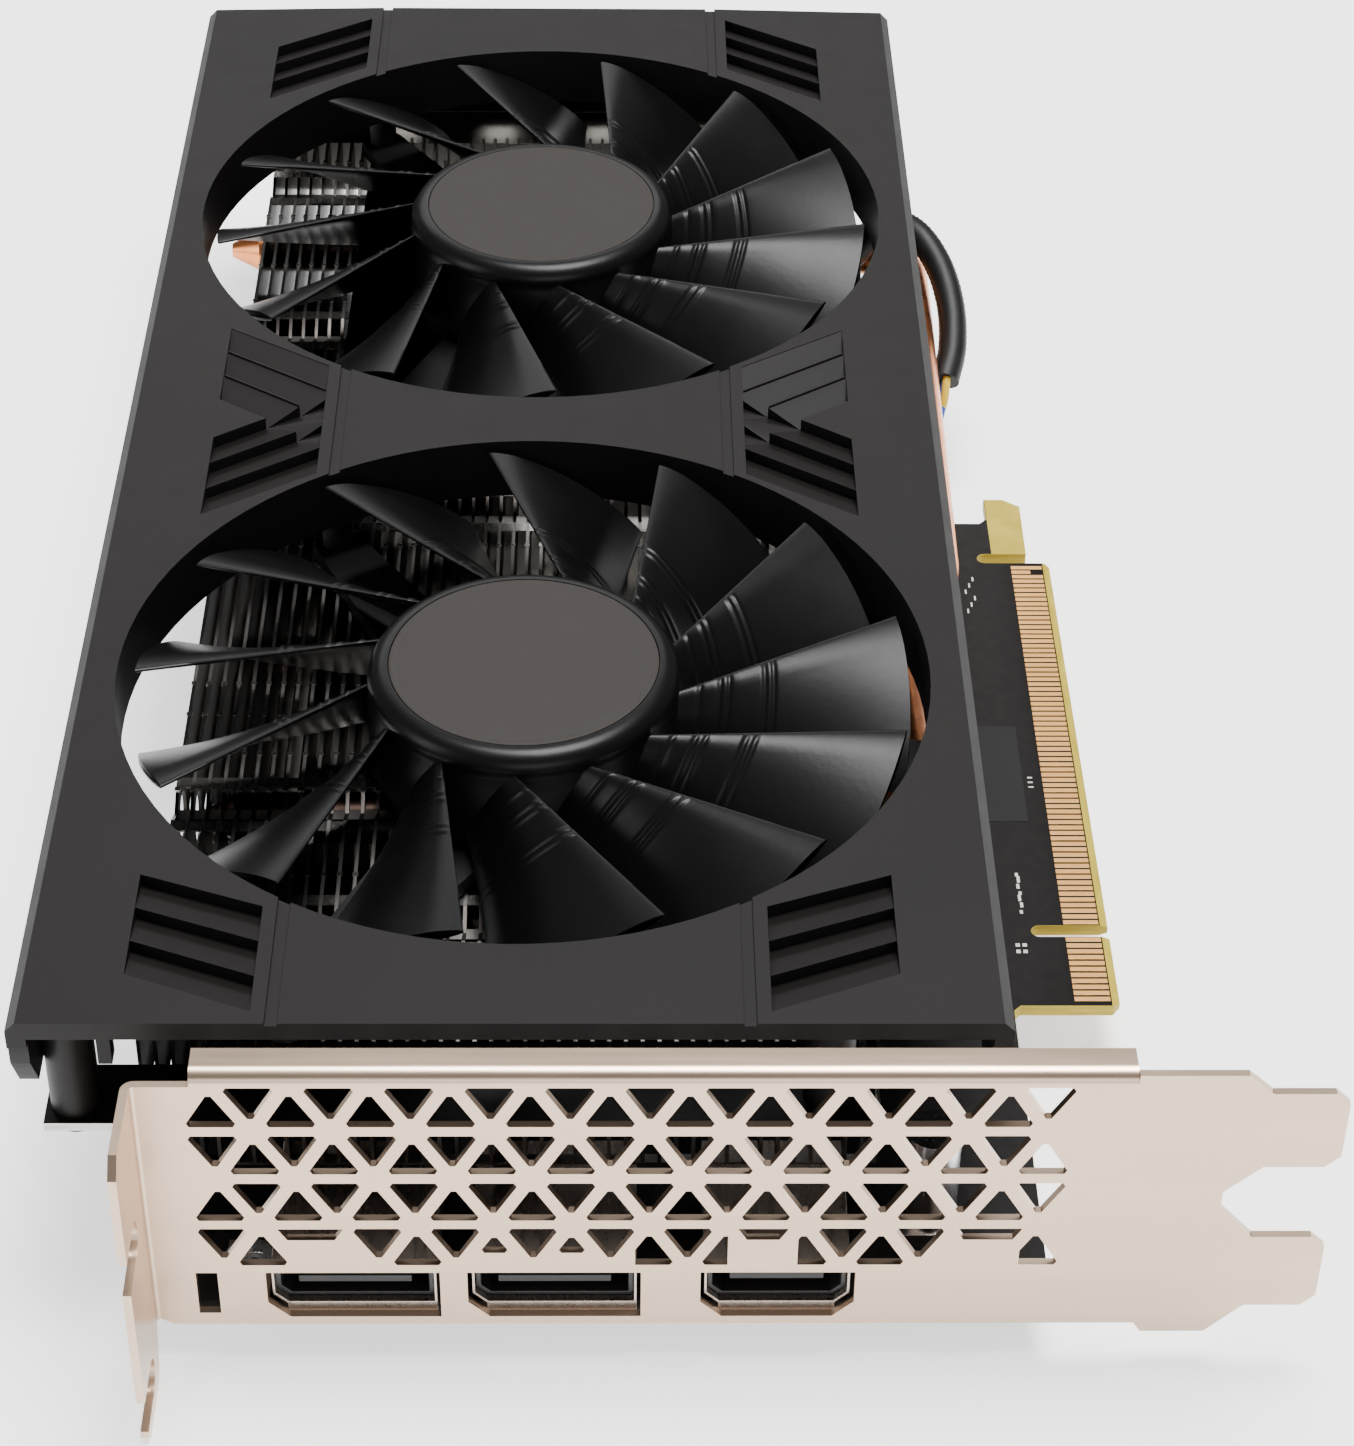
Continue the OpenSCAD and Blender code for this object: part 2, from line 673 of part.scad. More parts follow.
module rear_mount_plate() color([0.80, 0.78, 0.74]) difference() {
    union() {
        block([-2, 77.4], [fin_y1, shroud_y1 - 2.3], [rear_plate_z, rear_plate_z + plate_t]);
        block([fin_x0, 75], [fin_y1, fin_y1 + 1], [fin_low + 1, rear_plate_z]);
    }
    for (p = far_posts) pillar(p, 1.35, rear_plate_z - 1, rear_plate_z + plate_t + 1);
}

// Cross-shaped plate behind the graphics chip
module retention_plate() color([0.55, 0.55, 0.56]) difference() {
    flat(board_z0 - 1.2, board_z0) {
        for (s = [1, -1]) translate(gpu_c) rotate(s * atan2(26.5, 29.5))
            square([79, 9], center = true);
        for (p = cool_screws) translate(p) circle(r = 4.5);
    }
    for (p = cool_screws) pillar(p, 1.6, board_z0 - 2, board_z0 + 1);
    translate([gpu_c[0], gpu_c[1], board_z0 - 2]) cylinder(r = 3, h = 3);
}

spring_len = 2.4;
spring_top = board_z0 - 1.2;

module spring_screws() color([0.6, 0.6, 0.61]) for (p = cool_screws) {
    pillar(p, 1.2, spring_top - spring_len, base_z0 + 3);
    difference() {
        pillar(p, 2.6, spring_top - spring_len - 1, spring_top - spring_len);
        for (a = [0, 90]) translate([p[0], p[1], spring_top - spring_len - 0.9]) rotate(a)
            cube([3, 0.6, 0.8], center = true);
    }
}

module screw_springs() color([0.75, 0.75, 0.76]) for (p = cool_screws) difference() {
    pillar(p, 2.1, spring_top - spring_len, spring_top);
    pillar(p, 1.5, spring_top - spring_len - 1, spring_top + 1);
}

// ---------------------------------------------------------------- shroud

panel_in = 25.8;
panel_out = 38.8;
louvre_depth = 1.6;
groove_x = [24.3, 23];

// Saw-tooth pocket: each of the teeth falls away from the bracket side
module louvre_pocket(in, out, teeth) {
    for (i = [0:teeth - 1]) {
        a_in = in[0] + (in[1] - in[0]) * i / teeth;
        b_in = in[0] + (in[1] - in[0]) * (i + 1) / teeth;
        a_out = out[0] + (out[1] - out[0]) * i / teeth;
        b_out = out[0] + (out[1] - out[0]) * (i + 1) / teeth;
        top = shroud_top + 0.2;
        deep = shroud_top - louvre_depth;
        rim = shroud_top - 0.1;
        polyhedron(
            points = [
                [panel_in, a_in, top], [panel_out, a_out, top],
                [panel_out, b_out, top], [panel_in, b_in, top],
                [panel_in, a_in, rim], [panel_out, a_out, rim],
                [panel_out, b_out, deep], [panel_in, b_in, deep]
            ],
            faces = [
                [0, 3, 2, 1], [4, 5, 6, 7], [0, 1, 5, 4],
                [1, 2, 6, 5], [2, 3, 7, 6], [3, 0, 4, 7]
            ]
        );
    }
}

near_panel = [[9, 24.5], [14.4, 29.4]];
far_panel = [[204, 219], [194.8, 210.2]];
mid_panel = [[102.2, 118.9], [93.6, 109.8]];
mid_mirror_y = 114;

module side_profile() {
    z1 = shroud_top;
    c = side_chamfer;
    w = 2;
    x0 = shroud_x0;
    x1 = shroud_x1;
    difference() {
        polygon([
            [x0, z1 - skirt_h], [x0, z1 - c], [x0 + c, z1], [x1 - c, z1], [x1, z1 - c],
            [x1, z1 - skirt_h]
        ]);
        translate([x0 + w, z1 - skirt_h - 1]) square([shroud_w - 2 * w, skirt_h + 1 - skin]);
    }
}

window_x = [-22, -7.6, 7.6, 22];
window_w = 4;
window_z = [15.4, 18.6];

module far_wall() {
    difference() {
        block([shroud_x0 + 8, shroud_x1 - 8], [shroud_y1 - 2.2, shroud_y1 - 0.2], [12, shroud_top - skin]);
        for (x = window_x)
            block(span(fan_x + x - window_w / 2, window_w), [shroud_y1 - 3, shroud_y1 + 1], window_z);
    }
}

// Side walls end in a slanted foot at the bracket end
module skirt_end_cut() {
    for (x = [shroud_x0 - 1, shroud_x1 - 4]) sideways(5, x) polygon([
        [shroud_y0 - 1, shroud_top - skirt_h - 1], [shroud_y0 + 4, shroud_top - skirt_h - 1],
        [shroud_y0 + 0.6, shroud_top - 6], [shroud_y0 + 0.6, shroud_top - 3.4],
        [shroud_y0 - 1, shroud_top - 3.4]
    ]);
}

module fan_bosses(i) {
    for (a = strut_angles) {
        p = fan_centre(i) + on_circle(boss_ring_r, a);
        pillar(p, boss_r, strut_z0 + strut_t, shroud_top - skin + eps);
    }
}

module duct(i) {
    translate([fan_x, fan_y[i], duct_low]) difference() {
        cylinder(r = opening_d / 2 + duct_wall, h = shroud_top - skin + eps - duct_low);
        translate([0, 0, -1]) cylinder(r = opening_d / 2, h = 20);
    }
}

module shroud() color([0.16, 0.155, 0.155]) difference() {
    union() {
        upright(shroud_l, shroud_y0) side_profile();
        for (i = [0, 1]) {
            duct(i);
            fan_bosses(i);
        }
        far_wall();
        for (p = near_posts) pillar(p, near_post_r, plate_z + plate_t, shroud_top - skin + eps);
        for (p = far_posts) pillar(p, far_post_r, rear_plate_z + plate_t, shroud_top - skin + eps);
        block([fin_x0 - 1.6, fin_x0 - 0.2], [shroud_y0 + 1, shroud_y0 + 3], [21.5, shroud_top - skin + eps]);
    }
    for (i = [0, 1]) pillar(fan_centre(i), opening_d / 2, 10, shroud_top + 1);
    for (i = [0, 1]) for (a = strut_angles)
        pillar(fan_centre(i) + on_circle(boss_ring_r, a), 0.9, 10, 21);
    for (p = near_posts) pillar(p, 1.1, 5, 20);
    for (p = far_posts) pillar(p, 1.1, 5, 20);
    skirt_end_cut();
    for (s = [1, -1]) translate([fan_x, 0, 0]) scale([s, 1, 1]) {
        louvre_pocket(near_panel[0], near_panel[1], 3);
        louvre_pocket(far_panel[0], far_panel[1], 3);
        louvre_pocket(mid_panel[0], mid_panel[1], 3);
        translate([0, 2 * mid_mirror_y, 0]) scale([1, -1, 1])
            louvre_pocket(mid_panel[0], mid_panel[1], 3);
        block([groove_x[1], groove_x[0]], [shroud_y0 - 1, shroud_y1 + 1],
            [shroud_top - 0.35, shroud_top + 1]);
        // Far corners set back a little
        flat(10, shroud_top + 1) polygon([
            [groove_x[0], shroud_y1 + 1], [groove_x[0], shroud_y1],
            [shroud_w / 2 + 1, shroud_y1 - 1], [shroud_w / 2 + 1, shroud_y1 + 1]
        ]);
    }
}

module shroud_screws() color([0.12, 0.12, 0.12]) {
    for (p = near_posts) pipe_screw(p, 1.1, plate_z, plate_z + 7, 2.3, 1.3);
    for (p = far_posts) pipe_screw(p, 1.1, rear_plate_z, rear_plate_z + 7, 2.3, 1.3);
}

module fan_screws() color([0.12, 0.12, 0.12]) for (i = [0, 1]) for (a = strut_angles)
    pipe_screw(fan_centre(i) + on_circle(boss_ring_r, a), 0.9, strut_z0 + 1, strut_z0 + 6, 1.85, 0.95);

// ---------------------------------------------------------------- fans

module fan_frame(i) color([0.05, 0.05, 0.055]) translate([fan_x, fan_y[i], 0]) {
    difference() {
        union() {
            translate([0, 0, strut_z0]) cylinder(r = 16.4, h = strut_t);
            translate([0, 0, strut_z0]) cylinder(r = tube_r, h = 10.4);
            for (a = strut_angles) rotate(a) {
                flat(strut_z0, strut_z0 + strut_t) polygon([
                    [10, -6], [45, -3.2], [boss_ring_r, -3], [boss_ring_r, 3], [45, 3.2], [10, 6]
                ]);
                pillar([boss_ring_r, 0], 3, strut_z0, strut_z0 + strut_t);
            }
        }
        translate([0, 0, strut_z0 + 1]) cylinder(r = bearing_r, h = 20);
        for (a = strut_angles) rotate(a) {
            pillar([boss_ring_r, 0], 1.1, strut_z0 - 1, strut_z0 + 4);
            pillar([boss_ring_r, 0], 1.95, strut_z0 - 1, strut_z0 + 1);
        }
    }
}

module fan_bearing(i) color([0.62, 0.50, 0.30]) translate([fan_x, fan_y[i], strut_z0 + 1.4])
    difference() {
        cylinder(r = bearing_r, h = 9);
        translate([0, 0, -1]) cylinder(r = shaft_r + running_gap, h = 12);
    }

stator_z = 17.6;
pole_r = 12.8;
stator_t = 4.6;

module fan_stator(i) color([0.35, 0.35, 0.37]) translate([fan_x, fan_y[i], stator_z]) difference() {
    union() {
        cylinder(r = 6, h = stator_t);
        for (a = [45:90:315]) rotate(a) translate([5, -1.5, 0]) cube([pole_r - 5.9, 3, stator_t]);
        difference() {
            cylinder(r = pole_r, h = stator_t);
            translate([0, 0, -1]) cylinder(r = pole_r - 1.4, h = stator_t + 2);
            for (a = [0, 90]) rotate(a) translate([-20, -3, -1]) cube([40, 6, stator_t + 2]);
        }
    }
    translate([0, 0, -1]) cylinder(r = tube_r + 0.02, h = stator_t + 2);
}

module fan_windings(i) color([0.72, 0.36, 0.18]) translate([fan_x, fan_y[i], stator_z])
    for (a = [45:90:315]) rotate(a) difference() {
        translate([6.4, -3.4, -1]) cube([4.3, 6.8, stator_t + 2]);
        translate([6, -1.5, 0]) cube([6, 3, stator_t]);
    }

module fan_circuit(i) color([0.10, 0.30, 0.16]) translate([fan_x, fan_y[i], strut_z0 + strut_t])
    difference() {
        cylinder(r = 15, h = 0.8);
        translate([0, 0, -1]) cylinder(r = tube_r + 0.02, h = 3);
    }

module fan_magnet(i) color([0.22, 0.21, 0.21]) translate([fan_x, fan_y[i], hub_low + 0.4])
    difference() {
        cylinder(r = hub_r - hub_wall, h = 9.2);
        translate([0, 0, -1]) cylinder(r = 13.4, h = 12);
    }

module fan_shaft(i) color([0.82, 0.82, 0.83]) pillar(fan_centre(i), shaft_r, strut_z0 + 1.2, 27);

module fan_label(i) color([0.37, 0.35, 0.34])
    pillar(fan_centre(i), label_d / 2, hub_top - 0.2, hub_top + 0.05);

module hub(i) {
    r = hub_r;
    edge = 2.1;
    difference() {
        translate([fan_x, fan_y[i], 0]) rotate_extrude() {
            difference() {
                union() {
                    translate([0, hub_low]) square([r, hub_top - edge - hub_low]);
                    translate([0, hub_low]) square([r - edge, hub_top - hub_low]);
                    translate([r - edge, hub_top - edge]) circle(r = edge);
                }
                translate([-1, hub_low - 1]) square([r - hub_wall + 1, hub_top - 2 - hub_low + 1]);
                translate([-2 * r, 0]) square([2 * r, 60]);
            }
            translate([shaft_r, 24.6]) square([2, hub_top - 2 - 24.6]);
        }
        pillar(fan_centre(i), label_d / 2, hub_top - 0.2, hub_top + 1);
        pillar(fan_centre(i), shaft_r, 20, 27);
    }
}

// Blade surface: u runs from root to tip and t from the leading to the trailing edge
stations = 6;
chord_steps = 6;
function blade_radius(u) = hub_r - 0.8 + (rotor_d / 2 - hub_r + 0.8) * u;
function blade_angle(u, t) = -asin(lead_edge_offset / blade_radius(u)) - (19 + 6 * u) * t;
function blade_height(u, t) =
    blade_high - 0.8 * (1 - u) - (blade_root_drop + (blade_drop - blade_root_drop) * u)
    * (0.55 * t + 0.45 * t * t) * 0.86;
function blade_point(u, t, side) = let (p = on_circle(blade_radius(u), blade_angle(u, t)))
    [p[0], p[1], blade_height(u, t) - side * blade_t];

module blade() {
    n = chord_steps + 1;
    m = stations + 1;
    all = n * m;
    points = [for (side = [0, 1]) for (i = [0:stations]) for (j = [0:chord_steps])
        blade_point(i / stations, j / chord_steps, side)];
    skin_faces = [for (i = [0:stations - 1]) for (j = [0:chord_steps - 1])
        let (a = i * n + j) each [
            [a, a + n, a + 1], [a + 1, a + n, a + n + 1],
            [all + a, all + a + 1, all + a + n], [all + a + 1, all + a + n + 1, all + a + n]
        ]];
    end_faces = [for (j = [0:chord_steps - 1]) each [
        [j, j + 1, all + j], [j + 1, all + j + 1, all + j],
        [all - n + j, 2 * all - n + j, all - n + j + 1],
        [all - n + j + 1, 2 * all - n + j, 2 * all - n + j + 1]
    ]];
    edge_faces = [for (i = [0:stations - 1]) each [
        [i * n, all + i * n, (i + 1) * n], [(i + 1) * n, all + i * n, all + (i + 1) * n],
        [i * n + chord_steps, (i + 1) * n + chord_steps, all + i * n + chord_steps],
        [(i + 1) * n + chord_steps, all + (i + 1) * n + chord_steps, all + i * n + chord_steps]
    ]];
    polyhedron(points = points, faces = concat(skin_faces, end_faces, edge_faces));
}

module fan_rotor(i) color([0.06, 0.06, 0.065]) {
    hub(i);
    translate([fan_x, fan_y[i], 0])
        for (k = [0:blades - 1]) rotate(fan_phase[i] + k * 360 / blades) blade();
}

module front_fan_frame() fan_frame(0);
module front_fan_bearing() fan_bearing(0);
module front_fan_stator() fan_stator(0);
module front_fan_windings() fan_windings(0);
module front_fan_circuit() fan_circuit(0);
module front_fan_rotor() fan_rotor(0);
module front_fan_label() fan_label(0);
module front_fan_magnet() fan_magnet(0);
module front_fan_shaft() fan_shaft(0);
module rear_fan_frame() fan_frame(1);
module rear_fan_bearing() fan_bearing(1);
module rear_fan_stator() fan_stator(1);
module rear_fan_windings() fan_windings(1);
module rear_fan_circuit() fan_circuit(1);
module rear_fan_rotor() fan_rotor(1);
module rear_fan_label() fan_label(1);
module rear_fan_magnet() fan_magnet(1);
module rear_fan_shaft() fan_shaft(1);

// ---------------------------------------------------------------- fan lead

// Point on a smooth curve through the points of a route, t from 0 to the last index
function spline(route, t) = let (
    i = min(floor(t), len(route) - 2), f = t - i,
    p1 = route[i], p2 = route[i + 1],
    p0 = i > 0 ? route[i - 1] : 2 * p1 - p2,
    p3 = i + 2 < len(route) ? route[i + 2] : 2 * p2 - p1
) 0.5 * (2 * p1 + (p2 - p0) * f + (2 * p0 - 5 * p1 + 4 * p2 - p3) * f * f
    + (3 * p1 - p0 - 3 * p2 + p3) * f * f * f);

// Tube swept along a route as one closed polyhedron
module swept_tube(route, r, rings, sides) {
    step = (len(route) - 1) / rings;
    path = [for (k = [0:rings]) spline(route, k * step)];
    tangents = [for (k = [0:rings]) let (a = path[max(k - 1, 0)], b = path[min(k + 1, rings)])
        (b - a) / norm(b - a)];
    points = [for (k = [0:rings]) let (
        d = tangents[k], side = cross(d, [0, 0, 1]) / norm(cross(d, [0, 0, 1])), up = cross(side, d)
    ) for (j = [0:sides - 1]) path[k] + r * (side * cos(360 * j / sides) + up * sin(360 * j / sides))];
    walls = [for (k = [0:rings - 1]) for (j = [0:sides - 1])
        let (a = k * sides + j, b = k * sides + (j + 1) % sides)
            each [[a, a + sides, b], [b, a + sides, b + sides]]];
    start = [for (j = [0:sides - 1]) j];
    finish = [for (j = [sides - 1:-1:0]) rings * sides + j];
    polyhedron(points = points, faces = concat(walls, [start], [finish]));
}

module fan_lead_sleeve() color([0.04, 0.04, 0.04]) swept_tube(lead_route, lead_d / 2, 28, 10);

// Straight stretch of wire between two points
module wire(a, b) {
    d = b - a;
    translate(a) rotate([0, acos(d[2] / norm(d)), atan2(d[1], d[0])])
        cylinder(r = wire_r, h = norm(d));
}

// Four wires leave the sleeve and run under the heat pipe to the plug
module fan_lead_wires() for (i = [0:3]) color(wire_colours[i]) {
    across = i - 1.5;
    corner = [92.2, plug_y + 4 + across * plug_pitch, -3.6];
    wire([92.9, 161, 2 - 1.4 * across], corner);
    translate(corner) sphere(r = 1.3 * wire_r);
    wire(corner, [plug_x + 3.2, corner[1], corner[2]]);
}

// Flat four-way leads from the two motors to the sleeve
module motor_leads() color([0.05, 0.05, 0.05]) {
    low = strut_z0 - 0.1;
    side_x = span(76.4, ribbon_w);
    flat(low, low + ribbon_t) {
        for (y = fan_y) translate([fan_x + ribbon_reach, y + ribbon_offset])
            square([side_x[0] - 0.8 - fan_x - ribbon_reach, ribbon_w]);
        translate([side_x[0] - 1, fan_y[0] + ribbon_offset]) square([ribbon_w + 1, ribbon_w]);
    }
    block(side_x, [fan_y[0] + ribbon_offset, lead_route[0][1] - 1.6], [low - 1, low + ribbon_t - 0.8]);
}

module fan_plug() color([0.85, 0.84, 0.80])
    block(span(plug_x, 3.2), span(plug_y, 8), [-5.4, -1.8]);

module fan_header() color([0.85, 0.84, 0.80])
    block(span(plug_x - 4.6, 4.6), span(plug_y - 1, 10), [board_z1, -1.4]);

// ---------------------------------------------------------------- assembly

place() bracket();
place() bracket_screws();
place() pcb();
place() edge_contacts();
place() gpu_package();
place() gpu_die();
place() memory_chips();
place() memory_pads();
place() chokes();
place() power_stages();
place() polymer_capacitors();
place() chip_capacitors();
place() controller_chips();
place() crystal_can();
place() power_inlet();
place() power_pins();
place() wide_port_shells();
place() wide_port_inserts();
place() wide_port_contacts();
place() narrow_port_shell();
place() narrow_port_insert();
place() narrow_port_contacts();
place() copper_base();
place() heatsink_base();
place() heat_pipe_long();
place() heat_pipe_front();
place() heat_pipe_rear();
place() fin_stack();
place() front_mount_plate();
place() rear_mount_plate();
place() retention_plate();
place() spring_screws();
place() screw_springs();
place() shroud();
place() shroud_screws();
place() fan_screws();
place() front_fan_frame();
place() front_fan_bearing();
place() front_fan_stator();
place() front_fan_windings();
place() front_fan_circuit();
place() front_fan_rotor();
place() front_fan_label();
place() front_fan_magnet();
place() front_fan_shaft();
place() rear_fan_frame();
place() rear_fan_bearing();
place() rear_fan_stator();
place() rear_fan_windings();
place() rear_fan_circuit();
place() rear_fan_rotor();
place() rear_fan_label();
place() rear_fan_magnet();
place() rear_fan_shaft();
place() fan_lead_sleeve();
place() fan_lead_wires();
place() motor_leads();
place() fan_plug();
place() fan_header();
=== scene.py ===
import json
import math

import bmesh
import bpy
import numpy as np
from mathutils import Matrix, Vector


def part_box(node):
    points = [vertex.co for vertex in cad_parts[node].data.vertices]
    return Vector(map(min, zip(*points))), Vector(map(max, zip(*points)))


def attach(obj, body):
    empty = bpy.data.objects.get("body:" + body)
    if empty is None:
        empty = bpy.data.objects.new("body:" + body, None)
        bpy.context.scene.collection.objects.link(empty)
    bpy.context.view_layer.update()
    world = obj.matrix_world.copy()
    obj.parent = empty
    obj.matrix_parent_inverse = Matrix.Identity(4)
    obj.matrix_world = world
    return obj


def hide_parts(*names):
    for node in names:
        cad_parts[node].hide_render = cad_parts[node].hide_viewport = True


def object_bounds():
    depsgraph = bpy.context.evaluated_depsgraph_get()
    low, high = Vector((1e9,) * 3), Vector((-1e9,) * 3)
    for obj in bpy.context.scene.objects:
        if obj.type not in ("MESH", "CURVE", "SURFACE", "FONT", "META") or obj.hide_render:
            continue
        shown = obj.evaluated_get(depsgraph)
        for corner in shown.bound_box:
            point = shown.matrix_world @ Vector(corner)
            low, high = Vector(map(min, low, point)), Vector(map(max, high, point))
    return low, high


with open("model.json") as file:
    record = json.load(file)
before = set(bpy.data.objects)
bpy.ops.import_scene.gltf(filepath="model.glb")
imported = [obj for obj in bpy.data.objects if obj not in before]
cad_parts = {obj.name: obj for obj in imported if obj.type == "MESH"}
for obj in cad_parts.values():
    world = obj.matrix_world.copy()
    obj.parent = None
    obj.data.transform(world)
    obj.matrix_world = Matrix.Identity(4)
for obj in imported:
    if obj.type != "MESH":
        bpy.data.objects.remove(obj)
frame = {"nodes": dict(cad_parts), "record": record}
cad_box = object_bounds()

MM = 0.001
CARD = "card"
FANS = ("front", "rear")

# The working datum: tab's outer face, bracket's outer face, middle of the lower bracket tail
TAB_DEPTH = 11.43
TAB_DROP = 13.0
bracket_low, bracket_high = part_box("bracket")
DATUM = bracket_low + Vector((0, TAB_DEPTH, TAB_DROP)) * MM


def at(x, y, z):
    """A point given in millimetres from the datum, in the row frame."""
    return DATUM + Vector((x, y, z)) * MM


def to_mm(point):
    """A row-frame point in millimetres from the datum."""
    return (point - DATUM) / MM


# Bare laminate: the rim of the edge connector, the latch hook, and the board's cut edge from here on
BARE_RIM_X = 104.35
HOOK_X = 97.8
HOOK_Y = 132.0
BARE_EDGE_X = 91.0

# The fins cover the pipes between these two places, and the copper is painted near black there as painted
# shade
FINS_FROM_X = -1.9
FINS_TO_X = 79

# Corner numbers of a box's faces: the low ring is 0 to 3 and the high ring 4 to 7
BOX_FACES = ((3, 2, 1, 0), (4, 5, 6, 7), (0, 1, 5, 4), (1, 2, 6, 5), (2, 3, 7, 6), (3, 0, 4, 7))


# ------------------------------------------------------------------ materials


class Paint:
    """Builds one procedural material: a Principled shader with noise-driven colour, roughness and bump."""

    def __init__(self, name, colour, roughness, metallic=0.0, specular=0.5, coat=0.0):
        self.material = bpy.data.materials.new(name)
        self.material.use_nodes = True
        self.tree = self.material.node_tree
        self.shader = self.tree.nodes["Principled BSDF"]
        self.shader.inputs["Base Color"].default_value = (*colour, 1)
        self.shader.inputs["Roughness"].default_value = roughness
        self.shader.inputs["Metallic"].default_value = metallic
        self.shader.inputs["Specular IOR Level"].default_value = specular
        self.shader.inputs["Coat Weight"].default_value = coat
        self.colour = colour
        self.roughness = roughness
        self.coords = self.node("ShaderNodeTexCoord").outputs["Object"]
        self.bump_chain = None

    def node(self, kind, **values):
        made = self.tree.nodes.new(kind)
        for key, value in values.items():
            if key in made.inputs:
                made.inputs[key].default_value = value
            else:
                setattr(made, key, value)
        return made

    def link(self, source, target):
        self.tree.links.new(source, target)

    def noise(self, scale, detail=3.0, stretch=(1, 1, 1)):
        mapping = self.node("ShaderNodeMapping")
        mapping.inputs["Scale"].default_value = stretch
        self.link(self.coords, mapping.inputs["Vector"])
        texture = self.node("ShaderNodeTexNoise")
        texture.inputs["Scale"].default_value = scale
        texture.inputs["Detail"].default_value = detail
        self.link(mapping.outputs["Vector"], texture.inputs["Vector"])
        return texture.outputs["Fac"]

    def ramp(self, source, stops):
        ramp = self.node("ShaderNodeValToRGB")
        elements = ramp.color_ramp.elements
        while len(elements) < len(stops):
            elements.new(0.5)
        for element, (position, colour) in zip(elements, stops):
            element.position = position
            element.color = (*colour, 1)
        self.link(source, ramp.inputs["Fac"])
        return ramp.outputs["Color"]

    def mix(self, factor, first, second):
        mix = self.node("ShaderNodeMix", data_type="RGBA")
        for source, index in ((factor, 0), (first, 6), (second, 7)):
            if isinstance(source, tuple):
                mix.inputs[index].default_value = (*source, 1)
            else:
                self.link(source, mix.inputs[index])
        return mix.outputs[2]

    def vary(self, scale, amount, stretch=(1, 1, 1)):
        """Varies the base colour between darker and lighter, by amount, over noise of that scale."""
        dark = tuple(c * (1 - amount) for c in self.colour)
        light = tuple(min(1, c * (1 + amount)) for c in self.colour)
        return self.base(self.ramp(self.noise(scale, 4, stretch), [(0.35, dark), (0.65, light)]))

    def base(self, colour):
        self.link(colour, self.shader.inputs["Base Color"])
        return self

    def rough(self, scale, spread, stretch=(1, 1, 1)):
        """Varies the roughness around its value."""
        spread_node = self.node("ShaderNodeMapRange")
        spread_node.inputs["To Min"].default_value = max(0.02, self.roughness - spread)
        spread_node.inputs["To Max"].default_value = min(1.0, self.roughness + spread)
        self.link(self.noise(scale, 4, stretch), spread_node.inputs["Value"])
        self.link(spread_node.outputs["Result"], self.shader.inputs["Roughness"])
        return self

    def bump(self, scale, height_mm, strength=0.5, detail=3.0, stretch=(1, 1, 1)):
        """Adds a layer of bumps of that height, on top of the layers before it."""
        bump = self.node("ShaderNodeBump")
        bump.inputs["Strength"].default_value = strength
        bump.inputs["Distance"].default_value = height_mm * MM
        self.link(self.noise(scale, detail, stretch), bump.inputs["Height"])
        if self.bump_chain:
            self.link(self.bump_chain, bump.inputs["Normal"])
        self.bump_chain = bump.outputs["Normal"]
        self.link(self.bump_chain, self.shader.inputs["Normal"])
        return self

    def compare(self, operation, source, limit):
        step = self.node("ShaderNodeMath", operation=operation)
        self.link(source, step.inputs[0])
        step.inputs[1].default_value = limit
        return step.outputs[0]

    def greater(self, source, limit):
        """1 where source is above limit, 0 elsewhere."""
        return self.compare("GREATER_THAN", source, limit)

    def less(self, source, limit):
        """1 where source is below limit, 0 elsewhere."""
        return self.compare("LESS_THAN", source, limit)

    def join(self, operation, first, second):
        made = self.node("ShaderNodeMath", operation=operation)
        self.link(first, made.inputs[0])
        self.link(second, made.inputs[1])
        return made.outputs[0]

    def place(self):
        """X and Y of the surface point, in the row frame."""
        split = self.node("ShaderNodeSeparateXYZ")
        self.link(self.coords, split.inputs["Vector"])
        return split.outputs["X"], split.outputs["Y"]

    def facing_up(self):
        """1 on faces that look up or down, 0 on upright edges."""
        geometry = self.node("ShaderNodeNewGeometry")
        split = self.node("ShaderNodeSeparateXYZ")
        self.link(geometry.outputs["Normal"], split.inputs["Vector"])
        size = self.node("ShaderNodeMath", operation="ABSOLUTE")
        self.link(split.outputs["Z"], size.inputs[0])
        return self.greater(size.outputs[0], 0.95)


def moulded(name, colour, roughness, grain=2600, depth=0.02, specular=0.5):
    """Moulded plastic with a fine spark-eroded grain and faint flow marks."""
    paint = Paint(name, colour, roughness, specular=specular)
    paint.vary(90, 0.10).rough(160, 0.05)
    return paint.bump(grain, depth, 0.35, 2).bump(300, 0.03, 0.12, 2)


def metal(name, colour, roughness, stretch=(1, 1, 1), scale=900, depth=0.006, spread=0.07):
    """Metal with a fine grain, drawn out along an axis where stretch is small."""
    paint = Paint(name, colour, roughness, metallic=1.0)
    paint.vary(120, 0.05, stretch).rough(scale, spread, stretch)
    return paint.bump(scale, depth, 0.3, 4, stretch)


